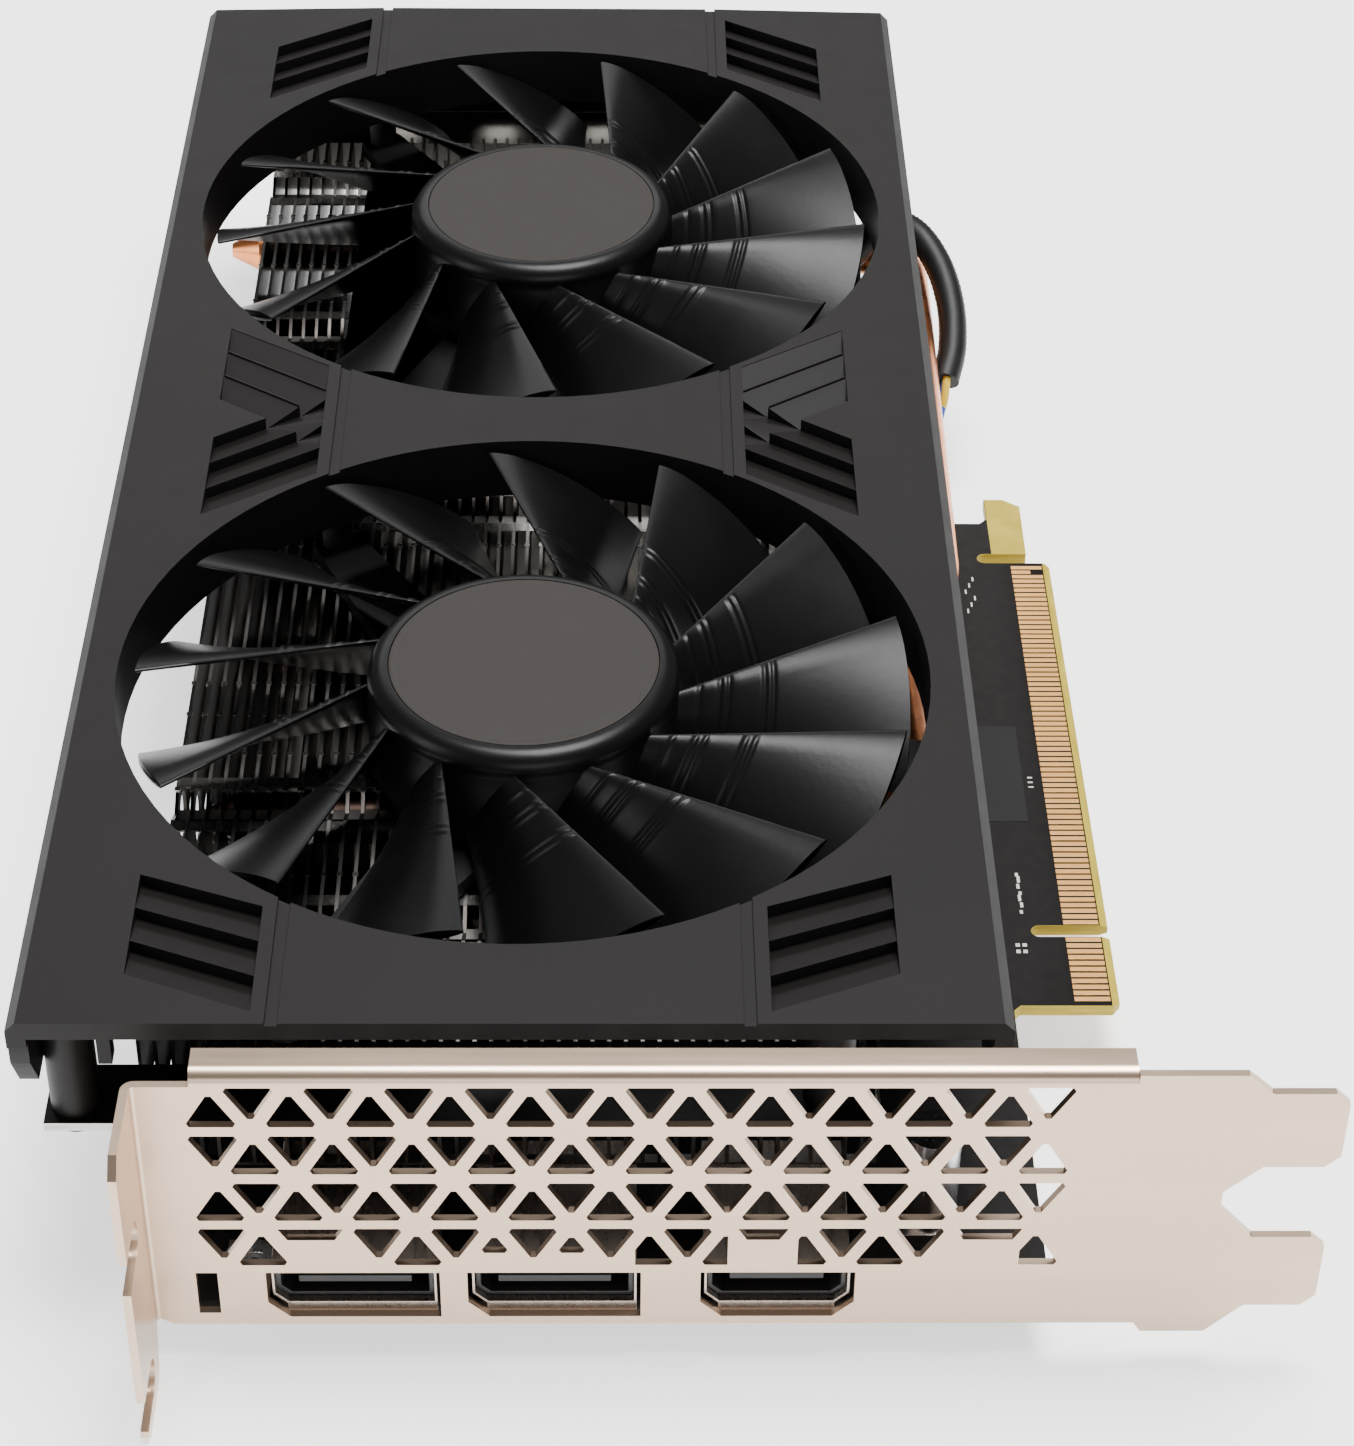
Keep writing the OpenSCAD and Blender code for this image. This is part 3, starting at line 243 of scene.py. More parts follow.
def make_materials():
    made = {}

    nickel = metal("bracket_sheet", (0.58, 0.435, 0.325), 0.30, (0.05, 1, 1), 1100, 0.0015, 0.05)
    nickel.bump(40, 0.04, 0.2, 2)
    made["bracket_sheet"] = nickel

    shroud = Paint("shroud_plastic", (0.0054, 0.0044, 0.0041), 0.5, specular=0.19)
    shroud.vary(45, 0.08).rough(220, 0.05).bump(3800, 0.022, 0.5, 2).bump(900, 0.015, 0.25, 2)
    made["shroud_plastic"] = shroud

    made["rotor_plastic"] = moulded("rotor_plastic", (0.0022, 0.0022, 0.0022), 0.34, 1400, 0.03, 0.19)
    made["fan_plastic"] = moulded("fan_plastic", (0.005, 0.005, 0.0053), 0.42, specular=0.35)

    label = Paint("label_grey", (0.032, 0.0282, 0.0265), 0.62, specular=0.12)
    made["label_grey"] = label.vary(2200, 0.04).rough(300, 0.05).bump(5000, 0.003, 0.3)

    board = Paint("board_mask", (0.0038, 0.0030, 0.0027), 0.4, specular=0.16)
    mask_tones = [(0.40, (0.0035, 0.0027, 0.0025)), (0.62, (0.0062, 0.0048, 0.0045))]
    mask = board.ramp(board.noise(700, 2), mask_tones)
    laminate_tones = [(0.3, (0.40, 0.30, 0.025)), (0.7, (0.50, 0.39, 0.055))]
    laminate = board.ramp(board.noise(900, 3, (0.3, 0.3, 3)), laminate_tones)
    x, y = board.place()
    tongue_rim = board.greater(x, at(BARE_RIM_X, 0, 0).x)
    past_hook = at(HOOK_X, HOOK_Y, 0)
    hook = board.join("MULTIPLY", board.greater(x, past_hook.x), board.greater(y, past_hook.y))
    face = board.join("MAXIMUM", board.facing_up(), board.less(x, at(BARE_EDGE_X, 0, 0).x))
    covered = board.join("SUBTRACT", face, board.join("MAXIMUM", tongue_rim, hook))
    board.base(board.mix(board.greater(covered, 0.5), laminate, mask))
    made["board_mask"] = board.bump(620, 0.01, 0.3, 1).rough(500, 0.06)

    fins = Paint("fin_aluminium", (0.05, 0.045, 0.042), 0.34, metallic=1.0)
    # Painted shade: the upright fin sides are painted near black for the shade between the fins, and faces
    # that look up keep a plain metal colour
    shaded_side_tones = [(0.35, (0.030, 0.027, 0.025)), (0.7, (0.075, 0.068, 0.063))]
    side = fins.ramp(fins.noise(160, 3, (1, 0.2, 1)), shaded_side_tones)
    fins.base(fins.mix(fins.facing_up(), side, (0.50, 0.475, 0.45)))
    made["fin_aluminium"] = fins.rough(1200, 0.1, (1, 0.1, 1)).bump(1500, 0.006, 0.3, 3, (1, 0.1, 1))

    copper = Paint("copper", (0.80, 0.40, 0.22), 0.30, metallic=1.0)
    bright = copper.ramp(copper.noise(300, 4), [(0.3, (0.66, 0.22, 0.07)), (0.7, (0.80, 0.30, 0.12))])
    x, _ = copper.place()
    after_start = copper.greater(x, at(FINS_FROM_X, 0, 0).x)
    before_end = copper.less(x, at(FINS_TO_X, 0, 0).x)
    # Painted shade: the copper is painted near black where the fins cover the pipes
    fin_shade_mask = copper.join("MULTIPLY", after_start, before_end)
    copper.base(copper.mix(fin_shade_mask, bright, (0.055, 0.035, 0.028)))
    made["copper"] = copper.rough(500, 0.1).bump(500, 0.01, 0.3)

    made["gold_plate"] = metal("gold_plate", (0.92, 0.50, 0.17), 0.36, (0.2, 1, 1), 2200, 0.002)
    made["tab_bright"] = metal("tab_bright", (0.72, 0.70, 0.67), 0.25, scale=1500)
    made["bare_aluminium"] = metal("bare_aluminium", (0.46, 0.43, 0.39), 0.42, (0.08, 1, 1), 1300, 0.006)
    made["plate_steel"] = metal("plate_steel", (0.48, 0.48, 0.49), 0.38, (0.1, 1, 1), 900, 0.006)
    made["screw_steel"] = metal("screw_steel", (0.62, 0.62, 0.63), 0.28, (1, 1, 1), 1800, 0.004)
    made["spring_steel"] = metal("spring_steel", (0.55, 0.55, 0.56), 0.25)
    made["shell_steel"] = metal("shell_steel", (0.50, 0.43, 0.38), 0.28, (1, 0.2, 1), 1200, 0.004)
    made["capacitor_can"] = metal("capacitor_can", (0.74, 0.74, 0.76), 0.25, (1, 1, 0.1), 1500, 0.004)
    made["bronze"] = metal("bronze", (0.48, 0.33, 0.16), 0.45, scale=2500, depth=0.02)
    made["lamination"] = metal("lamination", (0.20, 0.20, 0.21), 0.5, (0.05, 0.05, 6), 500, 0.03)
    made["silicon"] = metal("silicon", (0.30, 0.32, 0.38), 0.08, scale=300, depth=0.0005, spread=0.02)

    plate = Paint("plate_black", (0.005, 0.0045, 0.0043), 0.42, specular=0.3)
    made["plate_black"] = plate.vary(160, 0.15).rough(300, 0.08).bump(1500, 0.01, 0.3)
    cut = Paint("plate_cut_edge", (0.50, 0.47, 0.44), 0.35, metallic=1.0)
    made["plate_cut_edge"] = cut.vary(900, 0.15, (0.2, 1, 3)).bump(1200, 0.02, 0.4, 3, (0.2, 1, 3))
    screw = Paint("screw_black", (0.02, 0.02, 0.02), 0.38, metallic=0.6)
    made["screw_black"] = screw.vary(500, 0.2).bump(1500, 0.01, 0.3)

    # Colour, roughness, then the scale and amount of the tone, and the scale, depth and strength of the bumps
    plain = {
        "black_epoxy": ((0.018, 0.018, 0.019), 0.48, (700, 0.15), (3000, 0.01, 0.4)),
        "choke_grey": ((0.075, 0.075, 0.078), 0.6, (2500, 0.25), (2200, 0.03, 0.5)),
        "package_green": ((0.035, 0.075, 0.04), 0.35, (800, 0.12), (900, 0.01, 0.3)),
        "circuit_green": ((0.012, 0.075, 0.03), 0.35, (800, 0.15), (900, 0.01, 0.3)),
        "ceramic_tan": ((0.30, 0.20, 0.12), 0.4, (900, 0.12), (1500, 0.008, 0.3)),
        "thermal_pad": ((0.36, 0.38, 0.42), 0.8, (900, 0.08), (1200, 0.03, 0.4)),
        "ferrite": ((0.03, 0.028, 0.027), 0.7, (1200, 0.2), (1500, 0.02, 0.4)),
        "legend_white": ((0.55, 0.54, 0.50), 0.6, (3000, 0.15), (3000, 0.004, 0.3)),
    }
    for name, (colour, roughness, tone, bumps) in plain.items():
        made[name] = Paint(name, colour, roughness).vary(*tone).bump(*bumps)
    made["socket_black"] = moulded("socket_black", (0.012, 0.012, 0.013), 0.4)
    made["film_black"] = moulded("film_black", (0.004, 0.0038, 0.0036), 0.45, specular=0.25)
    made["plug_white"] = moulded("plug_white", (0.72, 0.70, 0.63), 0.4, 1800, 0.01)

    sleeve = Paint("sleeve_black", (0.005, 0.005, 0.0052), 0.5, specular=0.28)
    made["sleeve_black"] = sleeve.vary(400, 0.2).bump(420, 0.12, 0.5, 2).bump(2500, 0.01, 0.3)
    wire_colours = {
        "yellow": (0.62, 0.42, 0.02), "blue": (0.02, 0.07, 0.34),
        "black": (0.012, 0.012, 0.012), "red": (0.42, 0.02, 0.015),
    }
    for key, colour in wire_colours.items():
        made["wire_" + key] = moulded("wire_" + key, colour, 0.38, 1500, 0.008)
    made["wire_insulation"] = made["wire_yellow"]
    return {name: paint.material for name, paint in made.items()}


MATERIALS = make_materials()
SLOT_OF = {s["node"]: s["material_slot"] for s in frame["record"]["subparts"]}

# ------------------------------------------------------------------ building blocks


def finish_mesh(mesh, smooth_angle=35):
    """Smooth shading, with edges sharper than the angle kept sharp."""
    mesh.shade_smooth()
    mesh.set_sharp_from_angle(angle=math.radians(smooth_angle))


def add_piece(name, points, faces, slot, body=CARD, material=None, smooth_angle=35):
    """A new mesh piece from points in the row frame, riding on a body."""
    mesh = bpy.data.meshes.new(name)
    mesh.from_pydata([tuple(p) for p in points], [], [tuple(f) for f in faces])
    mesh.validate()
    mesh.update()
    piece = bpy.data.objects.new(name, mesh)
    bpy.context.scene.collection.objects.link(piece)
    mesh.materials.append(MATERIALS[material or slot])
    finish_mesh(mesh, smooth_angle)
    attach(piece, body)
    return piece


def bevel(piece, width_mm, segments=2):
    """Rounds the sharp edges of a piece."""
    modifier = piece.modifiers.new("edges", "BEVEL")
    modifier.width = width_mm * MM
    modifier.segments = segments
    modifier.limit_method = "ANGLE"
    modifier.angle_limit = math.radians(32)
    modifier.use_clamp_overlap = True
    modifier.harden_normals = True
    return piece


def soften(node, width_mm, segments=2):
    """Stands in for a CAD node with the same shape and rounded edges."""
    same_point, flat_angle = 0.002 * MM, math.radians(0.4)
    mesh = frame["nodes"][node].data.copy()
    mesh.name = node + "_soft"
    shape = bmesh.new()
    shape.from_mesh(mesh)
    bmesh.ops.remove_doubles(shape, verts=shape.verts, dist=same_point)
    bmesh.ops.dissolve_limit(shape, angle_limit=flat_angle, verts=shape.verts, edges=shape.edges)
    shape.to_mesh(mesh)
    shape.free()
    if "custom_normal" in mesh.attributes:
        mesh.attributes.remove(mesh.attributes["custom_normal"])
    mesh.materials.clear()
    mesh.materials.append(MATERIALS[SLOT_OF[node]])
    finish_mesh(mesh)
    piece = bpy.data.objects.new(node + "_soft", mesh)
    bpy.context.scene.collection.objects.link(piece)
    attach(piece, CARD)
    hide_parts(node)
    return bevel(piece, width_mm, segments)


def boxes(corner_pairs):
    """Points and faces of several upright boxes, each given by its low and high corner in mm."""
    points, faces = [], []
    for low, high in corner_pairs:
        base = len(points)
        for z in (low[2], high[2]):
            points += [at(low[0], low[1], z), at(high[0], low[1], z),
                       at(high[0], high[1], z), at(low[0], high[1], z)]
        for face in BOX_FACES:
            faces.append([base + i for i in face])
    return points, faces


def smooth_path(route_mm, steps):
    """A smooth curve through every point of a route, with that many steps from point to point."""
    route = [Vector(p) for p in route_mm]
    path = []
    for i in range(len(route) - 1):
        p1, p2 = route[i], route[i + 1]
        p0 = route[i - 1] if i > 0 else 2 * p1 - p2
        p3 = route[i + 2] if i + 2 < len(route) else 2 * p2 - p1
        for k in range(steps):
            f = k / steps
            path.append(0.5 * (2 * p1 + (p2 - p0) * f + (2 * p0 - 5 * p1 + 4 * p2 - p3) * f * f
                               + (3 * p1 - p0 - 3 * p2 + p3) * f ** 3))
    path.append(route[-1])
    return path


def tube(name, route_mm, radius_mm, slot, material=None, sides=16, steps=6, ridges=0.0):
    """A round tube along a smooth curve through a route, with optional shallow ridges."""
    path = smooth_path(route_mm, steps)
    points, faces = [], []
    up = Vector((0, 0, 1))
    for k, centre in enumerate(path):
        d = (path[min(k + 1, len(path) - 1)] - path[max(k - 1, 0)]).normalized()
        side = d.cross(up)
        side = side.normalized() if side.length > 1e-4 else Vector((1, 0, 0))
        top = side.cross(d)
        r = radius_mm * (1 - ridges * (k % 2))
        for j in range(sides):
            a = 2 * math.pi * j / sides
            points.append(at(*(centre + r * (side * math.cos(a) + top * math.sin(a)))))
    for k in range(len(path) - 1):
        for j in range(sides):
            a, b = k * sides + j, k * sides + (j + 1) % sides
            faces.append((a, b, b + sides, a + sides))
    faces.append(tuple(reversed(range(sides))))
    faces.append(tuple(range((len(path) - 1) * sides, len(path) * sides)))
    return add_piece(name, points, faces, slot, material=material, smooth_angle=60)


def lathe(profile, centre, segments=128):
    """Points and faces of a closed ring or disc turned about the vertical line through centre."""
    points, faces = [], []
    n = len(profile)
    for s in range(segments):
        a = 2 * math.pi * s / segments
        for r, z in profile:
            points.append(at(centre[0] + r * math.cos(a), centre[1] + r * math.sin(a), z))
    for s in range(segments):
        t = (s + 1) % segments
        for i in range(n):
            j = (i + 1) % n
            faces.append((s * n + i, t * n + i, t * n + j, s * n + j))
    return points, faces


def arc(cx, cz, r, start, end, steps=10):
    """Points of a circular arc in a turned profile, angles in degrees."""
    angles = [math.radians(start + (end - start) * i / steps) for i in range(steps + 1)]
    return [(cx + r * math.cos(a), cz + r * math.sin(a)) for a in angles]


# ------------------------------------------------------------------ fans

BLADES = 13
BLADE_PHASE = {"front": 0.0, "rear": 10.5}
TIP_R = 43.3
RIB_RADII = (19.7, 21.9, 22.9, 26.9, 27.9)


def fan_axis(fan):
    low, high = (to_mm(p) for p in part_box(fan + "_fan_shaft"))
    return (low + high) / 2


def blade_points(hub_r, top_z):
    """Loops of points round one blade, one loop for each radius, with the blade's root inside the hub."""
    lead_offset, root_sweep, tip_sweep = 10.3, 19.0, 25.0
    root_drop, tip_drop = 9.2, 10.5
    root_dip, lead_dip = 0.8, 0.6
    thick, edge_share, tip_share = 1.35, 0.12, 0.35
    rib_height, rib_width = 0.26, 0.24
    root_depth, tip_start, tip_round = 0.8, 0.25, 0.08
    loop_count, chord_steps = 26, 22
    near_rib = (-0.6, -0.3, -0.12, 0.12, 0.3, 0.6)
    radii = sorted(set(list(np.linspace(hub_r - root_depth, TIP_R - tip_start, loop_count))
                       + [TIP_R - tip_round, TIP_R] + [rib + d for rib in RIB_RADII for d in near_rib]))
    chord = [0.5 - 0.5 * math.cos(math.pi * j / chord_steps) for j in range(chord_steps + 1)]
    loops = []
    for r in radii:
        u = (r - hub_r + root_depth) / (TIP_R - hub_r + root_depth)
        sweep = root_sweep + (tip_sweep - root_sweep) * u
        drop = root_drop + (tip_drop - root_drop) * u
        lead = -math.degrees(math.asin(lead_offset / r))
        rib = sum(math.exp(-((r - rib_r) / rib_width) ** 2) for rib_r in RIB_RADII)
        shrink = tip_share if r == TIP_R else 1.0
        top, bottom = [], []
        for t in chord:
            a = math.radians(lead - sweep * t)
            z = top_z - root_dip * (1 - u) - drop * (0.55 * t + 0.45 * t * t) - lead_dip
            fullness = edge_share + (1 - edge_share) * min(1, 6 * t, 5 * (1 - t)) ** 0.5
            half = shrink * thick * fullness / 2
            fade = min(1, 8 * t, 8 * (1 - t))
            x, y = r * math.cos(a), r * math.sin(a)
            top.append((x, y, z + half + rib_height * rib * fade))
            bottom.append((x, y, z - half))
        loops.append(top + bottom[::-1])
    return loops


def build_rotor(fan):
    """The hub cup with its blades, and the blank label let into the hub."""
    centre = fan_axis(fan)
    body = fan + "_rotor"
    hub_top = to_mm(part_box(fan + "_fan_rotor")[1]).z
    label_low, label_high = (to_mm(p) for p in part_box(fan + "_fan_label"))
    label_r = (label_high.x - label_low.x) / 2
    hub_r, hub_low, wall, edge, cup_top = 17.6, 17.0, 1.4, 2.2, 2
    step, step_height, bore_r, recess, blade_drop = 0.12, 0.2, 2.0, 0.25, 1.1
    upper_r, step_top = hub_r - step, hub_top - edge - 1.0
    profile = ([(hub_r, hub_low), (hub_r, step_top - step_height)]
               + [(upper_r, step_top), (upper_r, hub_top - edge)]
               + arc(upper_r - edge, hub_top - edge, edge, 8, 90)
               + [(label_r + 0.12, hub_top), (label_r + 0.05, hub_top - 0.22), (bore_r, hub_top - recess),
                  (bore_r, hub_top - cup_top), (hub_r - wall, hub_top - cup_top), (hub_r - wall, hub_low)])
    points, faces = lathe(profile, centre)
    loops = blade_points(hub_r, hub_top - blade_drop)
    size = len(loops[0])
    for k in range(BLADES):
        turn = math.radians(BLADE_PHASE[fan] + 360 * k / BLADES)
        c, s = math.cos(turn), math.sin(turn)
        base = len(points)
        for loop in loops:
            for x, y, z in loop:
                points.append(at(centre.x + c * x - s * y, centre.y + s * x + c * y, z))
        for i in range(len(loops) - 1):
            for j in range(size):
                a, b = base + i * size + j, base + i * size + (j + 1) % size
                faces.append((a, a + size, b + size, b))
        faces.append([base + j for j in range(size)])
        faces.append([base + (len(loops) - 1) * size + j for j in reversed(range(size))])
    rotor = add_piece(fan + "_rotor_blades", points, faces, "rotor_plastic", body, smooth_angle=40)
    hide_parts(fan + "_fan_rotor")

    face = label_high.z
    back = face - 0.2
    middle, groove, bevelled = 0.0005, 0.04, 0.06
    disc = ([(middle, face)] + [(r, face) for r in np.linspace(2, label_r - 0.9, 8)]
            + [(label_r - 0.7, face - groove), (label_r - 0.5, face), (label_r - 0.1, face)]
            + [(label_r, face - bevelled), (label_r, back), (middle, back)])
    points, faces = lathe(disc, centre, 96)
    label = add_piece(fan + "_hub_label", points, faces, "label_grey", body)
    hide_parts(fan + "_fan_label")


for fan in FANS:
    build_rotor(fan)
    soften(fan + "_fan_frame", 0.3)

# ------------------------------------------------------------------ heatsink


def build_fin_tabs():
    """Rows across the stack: tabs folded over from fin to fin, and small lugs on each fin edge."""
    low, high = (to_mm(p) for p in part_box("fin_stack"))
    pitch, sheet = 1.75, 0.4
    count = round((high.x - low.x - sheet) / pitch) + 1
    lug_rows = (24.0, 30.5, 46.5, 61.1, 67.4, 74.7, 80.5, 108.3, 123.5, 150.2, 165.4, 174.7, 188.0, 203.5)
    lug_side, lug_half, lug_drop, lug_rise = 0.12, 0.3, 0.3, 0.06
    tab_rows = (38.5, 58.5, 116.0, 158.0, 196.0)
    tab_reach, tab_length, tab_low, tab_high = 3.0, 1.6, high.z - 0.26, high.z - 0.02
    tabs = []
    for y in lug_rows:
        for i in range(count):
            x = low.x + i * pitch
            tabs.append(((x - lug_side, y - lug_half, high.z - lug_drop),
                         (x + sheet + lug_side, y + lug_half, high.z + lug_rise)))
    for y in tab_rows:
        for side in (-1, 1):
            near = y + side * tab_reach
            far = near + side * tab_length
            for i in range(count - 1):
                x = low.x + i * pitch + sheet
                tabs.append(((x - 0.05, min(near, far), tab_low),
                             (x + pitch - sheet + 0.02, max(near, far), tab_high)))
    points, faces = boxes(tabs)
    add_piece("fin_tabs", points, faces, "fin_aluminium", material="tab_bright")


build_fin_tabs()
soften("heatsink_base", 0.3)
soften("copper_base", 0.1)
soften("rear_mount_plate", 0.12)

# The front plate is black with bright cut edges
front_plate = soften("front_mount_plate", 0.08)
front_plate.data.materials.append(MATERIALS["plate_cut_edge"])
for polygon in front_plate.data.polygons:
    if abs(polygon.normal.z) < 0.5:
        polygon.material_index = 1

# ------------------------------------------------------------------ shroud and bracket

soften("shroud", 0.22)
soften("bracket", 0.09)


def build_louvre_crests():
    """Fine ridges along the two inner steps of each upper louvre wedge beside the bridge."""
    centre_x, top, foot, half = 37.7, 28.15, 27.2, 0.16
    # Each ridge runs between two points: distance from the centre line, then Y
    crests = (((25.9, 120.3), (38.7, 128.93)), ((28.95, 116.83), (38.7, 123.53)))
    points, faces = [], []
    for side in (-1, 1):
        for (x0, y0), (x1, y1) in crests:
            base = len(points)
            for z in (foot, top):
                for x, y in ((x0, y0 - half), (x1, y1 - half), (x1, y1 + half), (x0, y0 + half)):
                    points.append(at(centre_x + side * x, y, z))
            for face in BOX_FACES:
                faces.append([base + i for i in face[::side]])
    bevel(add_piece("louvre_crests", points, faces, "shroud_plastic"), 0.05)


build_louvre_crests()

# ------------------------------------------------------------------ board

soften("pcb", 0.05, 1)
for node, width in {
    "gpu_package": 0.06, "gpu_die": 0.02, "memory_chips": 0.08, "memory_pads": 0.1,
    "chokes": 0.35, "power_stages": 0.08, "polymer_capacitors": 0.25, "controller_chips": 0.08,
    "crystal_can": 0.2, "power_inlet": 0.2, "power_pins": 0.12, "wide_port_shells": 0.06,
    "wide_port_inserts": 0.12, "narrow_port_shell": 0.06, "narrow_port_insert": 0.12,
    "chip_capacitors": 0.08, "edge_contacts": 0.015, "wide_port_contacts": 0.03,
    "narrow_port_contacts": 0.03, "retention_plate": 0.15, "spring_screws": 0.12,
    "bracket_screws": 0.12, "shroud_screws": 0.12, "fan_screws": 0.1, "fan_plug": 0.2,
    "fan_header": 0.2,
}.items():
    soften(node, width, 1)


def build_board_marks():
    """A black film patch and plain printed dashes on the board, beside the edge connector."""
    top = to_mm(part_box("pcb")[1]).z
    film_t, ink_t = 0.06, 0.02
    points, faces = boxes([((92.2, 77.6, top), (97.7, 95.9, top + film_t))])
    bevel(add_piece("board_film", points, faces, "black_epoxy", material="film_black"), 0.02, 1)
    # Each dash: X, Y, width and length
    dashes = []
    for k in range(7):
        dashes.append((95.2 + 0.15 * (k % 2), 61.0 + 1.1 * k, 0.35, 0.6 + 0.25 * (k % 3)))
    for k in range(4):
        dashes.append((94.2 + 0.8 * (k % 2), 54.2 + 1.1 * (k // 2), 0.5, 0.55))
    for k in range(6):
        dashes.append((93.6 + 0.55 * (k % 3), 119.5 + 1.4 * k, 0.22, 0.9))
    for k in range(3):
        dashes.append((98.3, 84.0 + 0.9 * k, 0.6, 0.25))
    points, faces = boxes([((x, y, top), (x + w, y + h, top + ink_t)) for x, y, w, h in dashes])
    add_piece("board_legend", points, faces, "board_mask", material="legend_white")


build_board_marks()


def build_socket_springs():
    """Two contact springs of the metal shell, showing at the roof of each video socket."""
    half_width, mouth_y, inner_y, low, high = 0.55, 1.9, 4.2, -2.05, -1.35
    spring_xs = {"wide_port_shells": (18.9, 24.3, 39.4, 44.8), "narrow_port_shell": (62.6, 67.2)}
    for shell, centres in spring_xs.items():
        points, faces = boxes([((x - half_width, mouth_y, low), (x + half_width, inner_y, high))
                               for x in centres])
        bevel(add_piece(shell + "_springs", points, faces, SLOT_OF[shell]), 0.12)


build_socket_springs()


def build_springs():
    """A coil spring under each screw head, in place of the plain ring."""
    low, high = (to_mm(p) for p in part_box("screw_springs"))
    ring_r, mean_r, wire_r, turns, sides, steps = 2.1, 1.8, 0.28, 4, 8, 80
    xs = (low.x + ring_r, high.x - ring_r)
    ys = (low.y + ring_r, high.y - ring_r)
    points, faces = [], []
    for cx in xs:
        for cy in ys:
            base = len(points)
            for k in range(steps + 1):
                a = 2 * math.pi * turns * k / steps
                z = low.z + wire_r + (high.z - low.z - 2 * wire_r) * k / steps
                out = Vector((math.cos(a), math.sin(a), 0))
                for j in range(sides):
                    b = 2 * math.pi * j / sides
                    p = Vector((cx, cy, z)) + out * (mean_r + wire_r * math.cos(b))
                    points.append(at(p.x, p.y, p.z + wire_r * math.sin(b)))
            for k in range(steps):
                for j in range(sides):
                    a, b = base + k * sides + j, base + k * sides + (j + 1) % sides
                    faces.append((a, b, b + sides, a + sides))
            faces.append([base + j for j in reversed(range(sides))])
            faces.append([base + steps * sides + j for j in range(sides)])
    springs = add_piece("coil_springs", points, faces, "spring_steel", smooth_angle=60)
    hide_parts("screw_springs")


build_springs()

# ------------------------------------------------------------------ fan lead

LEAD_R = 2.0
WIRE_R = 0.55
LEAD_ROUTE = [
    (77.4, 171.8, 13.7), (80.8, 176.4, 14.2), (84, 181.2, 14.6), (87.4, 184, 14.4), (90.6, 183, 12.9),
    (93.2, 178.4, 10.6), (94.5, 172.4, 7.8), (94.4, 166.4, 5), (93.2, 161.8, 2.6),
]
sleeve = tube("fan_lead", LEAD_ROUTE, LEAD_R, "sleeve_black", steps=14, sides=20, ridges=0.035)
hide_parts("fan_lead_sleeve")


def build_lead_wires():
    """Four wires from the sleeve's end to the plug, side by side. The CAD node of the wires is hidden when
    the first is made.
    """
    plug_low, plug_high = (to_mm(p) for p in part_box("fan_plug"))
    pin_pitch, plug_z = 2, -3.6
    for i, key in enumerate(("red", "black", "blue", "yellow")):
        across = i - 1.5
        y_in = (plug_low.y + plug_high.y) / 2 + pin_pitch * across
        route = [
            (93.2 + 0.2 * across, 162.6, 2.9 + 0.8 * across),
            (92.9 + 0.25 * across, 160.4 + 0.2 * across, 1.4 + 0.9 * across),
            (92.4 + 0.3 * across, 157.8 + 0.7 * across, -0.7 + 0.8 * across),
            (91.4, y_in + 0.5, -3.1 + 0.2 * across),
            (89.4, y_in, plug_z), (plug_high.x - 0.2, y_in, plug_z),
        ]
        name, paint = "lead_wire_" + key, "wire_" + key
        wire = tube(name, route, WIRE_R, "wire_insulation", paint, sides=12, steps=8)
        if i == 0:
            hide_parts("fan_lead_wires")


build_lead_wires()

# ------------------------------------------------------------------ carried-over CAD nodes

for node, cad in frame["nodes"].items():
    cad.data.materials.clear()
    cad.data.materials.append(MATERIALS[SLOT_OF[node]])

# ------------------------------------------------------------------ stage, lights and camera


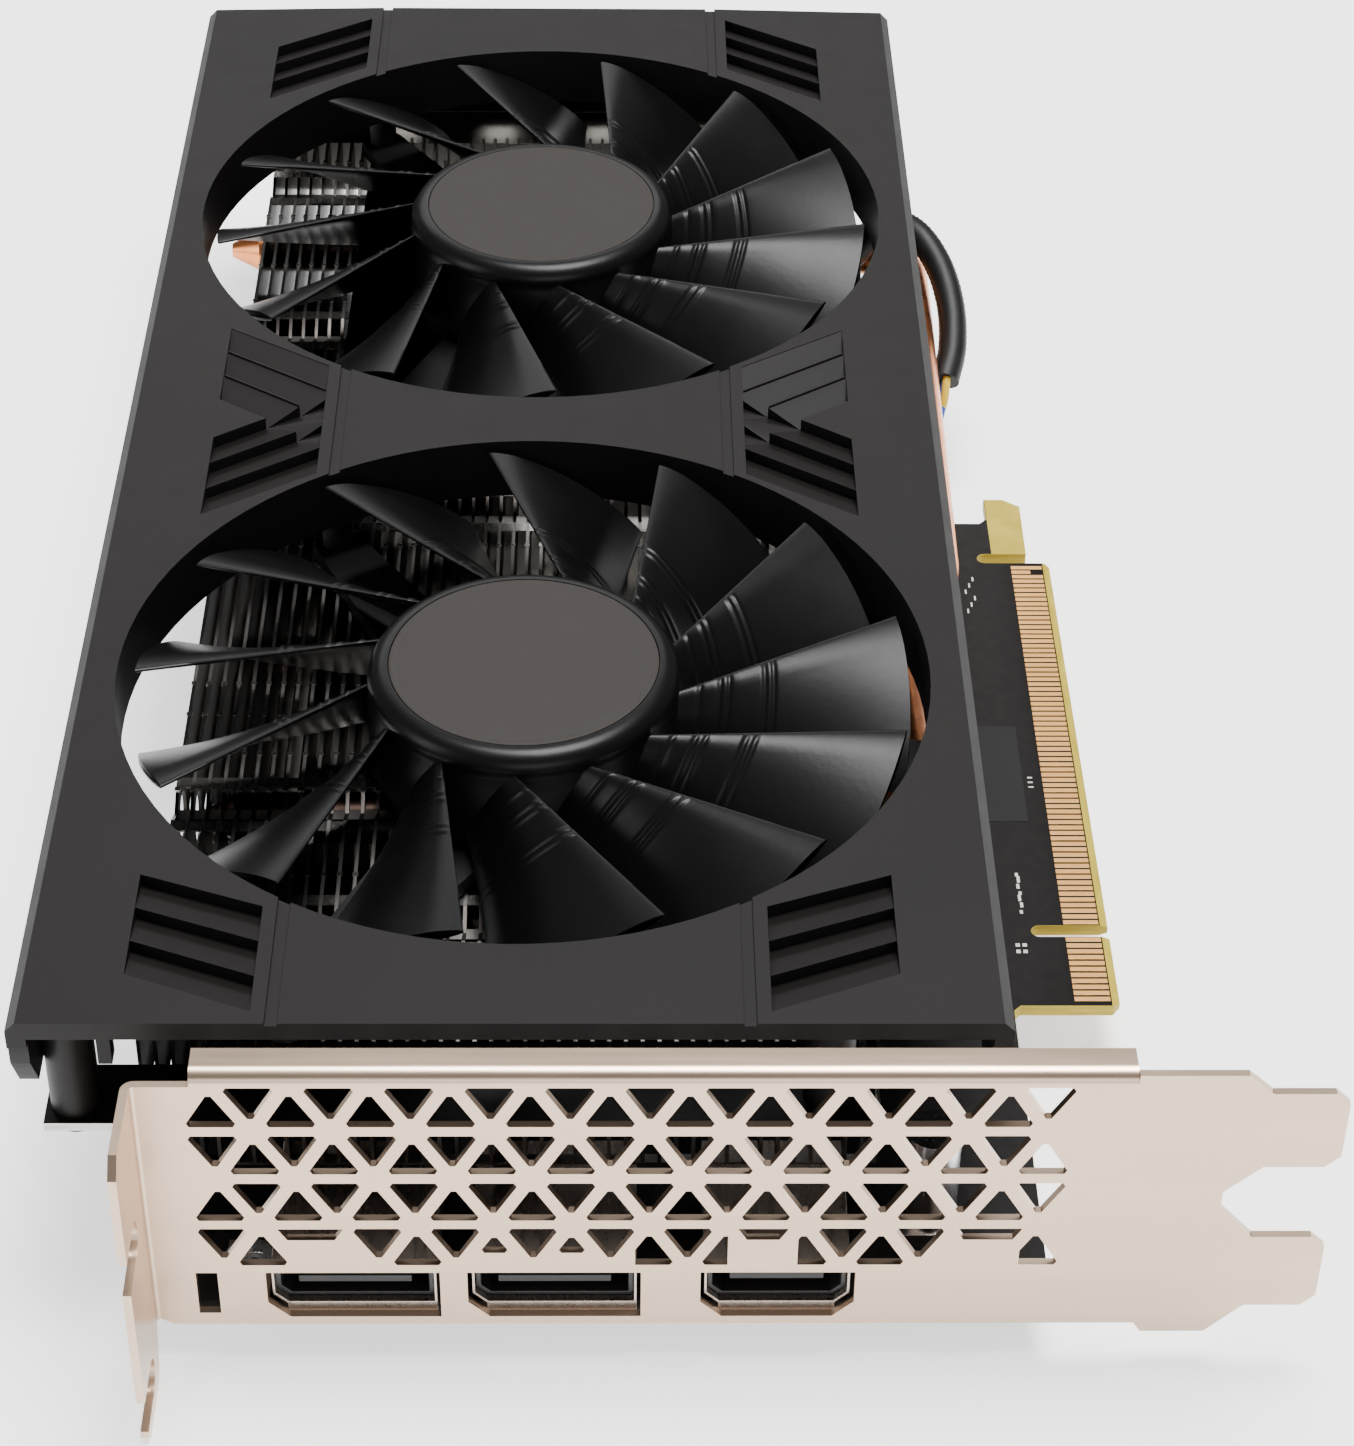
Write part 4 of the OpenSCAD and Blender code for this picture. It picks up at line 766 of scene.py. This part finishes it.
def build_floor():
    """A wide white sheet under the card, bright enough to read as a studio background."""
    mesh = bpy.data.meshes.new("floor")
    z, half = cad_box[0].z, 6.0
    corners = [(-half, -half, z), (half, -half, z), (half, half, z), (-half, half, z)]
    mesh.from_pydata(corners, [], [(0, 1, 2, 3)])
    floor = bpy.data.objects.new("floor", mesh)
    bpy.context.scene.collection.objects.link(floor)
    paper = Paint("floor_paper", (0.93, 0.93, 0.93), 0.9, specular=0.1).vary(3, 0.01)
    paper.shader.inputs["Emission Color"].default_value = (1, 1, 1, 1)
    paper.shader.inputs["Emission Strength"].default_value = 1.3
    mesh.materials.append(paper.material)


def area_light(name, place, target, size, power):
    """A white rectangular light, aimed at a point."""
    light = bpy.data.lights.new(name, "AREA")
    light.shape = "RECTANGLE"
    light.size, light.size_y = size
    light.energy = power
    lamp = bpy.data.objects.new(name, light)
    bpy.context.scene.collection.objects.link(lamp)
    lamp.location = place
    lamp.rotation_euler = (Vector(target) - Vector(place)).to_track_quat("-Z", "Y").to_euler()


def build_world(strength):
    world = bpy.data.worlds.new("studio")
    world.use_nodes = True
    background = world.node_tree.nodes["Background"]
    background.inputs["Color"].default_value = (1, 1, 1, 1)
    background.inputs["Strength"].default_value = strength
    bpy.context.scene.world = world


def build_camera():
    """A long lens above the bracket end, looking along the card and down."""
    camera_place = (48.654, -237.554, 262.593)
    pitch, roll, yaw = -38.77, -0.81, -1.166
    camera = bpy.data.cameras.new("camera")
    camera.sensor_width = 36
    camera.lens = 85.41682
    camera.clip_start, camera.clip_end = 0.01, 20
    viewer = bpy.data.objects.new("camera", camera)
    bpy.context.scene.collection.objects.link(viewer)
    level = Matrix.Rotation(math.radians(90), 4, "X")
    turn = (Matrix.Rotation(math.radians(yaw), 4, "Z") @ Matrix.Rotation(math.radians(pitch), 4, "X")
            @ Matrix.Rotation(math.radians(roll), 4, "Y"))
    viewer.matrix_world = Matrix.Translation(at(*camera_place)) @ turn @ level
    bpy.context.scene.camera = viewer


build_floor()
build_world(0.22)
area_light("overhead", (0.15, 0.1, 1.3), (0, 0, 0), (0.7, 0.6), 40)
area_light("back_softbox", (-0.2, 1.3, 0.8), (0, 0.05, 0.02), (1.2, 0.4), 5)
area_light("left_softbox", (-1.0, -0.4, 0.4), (0, 0, 0.02), (0.3, 0.6), 3)
area_light("front_fill", (0.2, -1.3, 0.4), (0, 0, 0.02), (0.9, 0.4), 4)
build_camera()
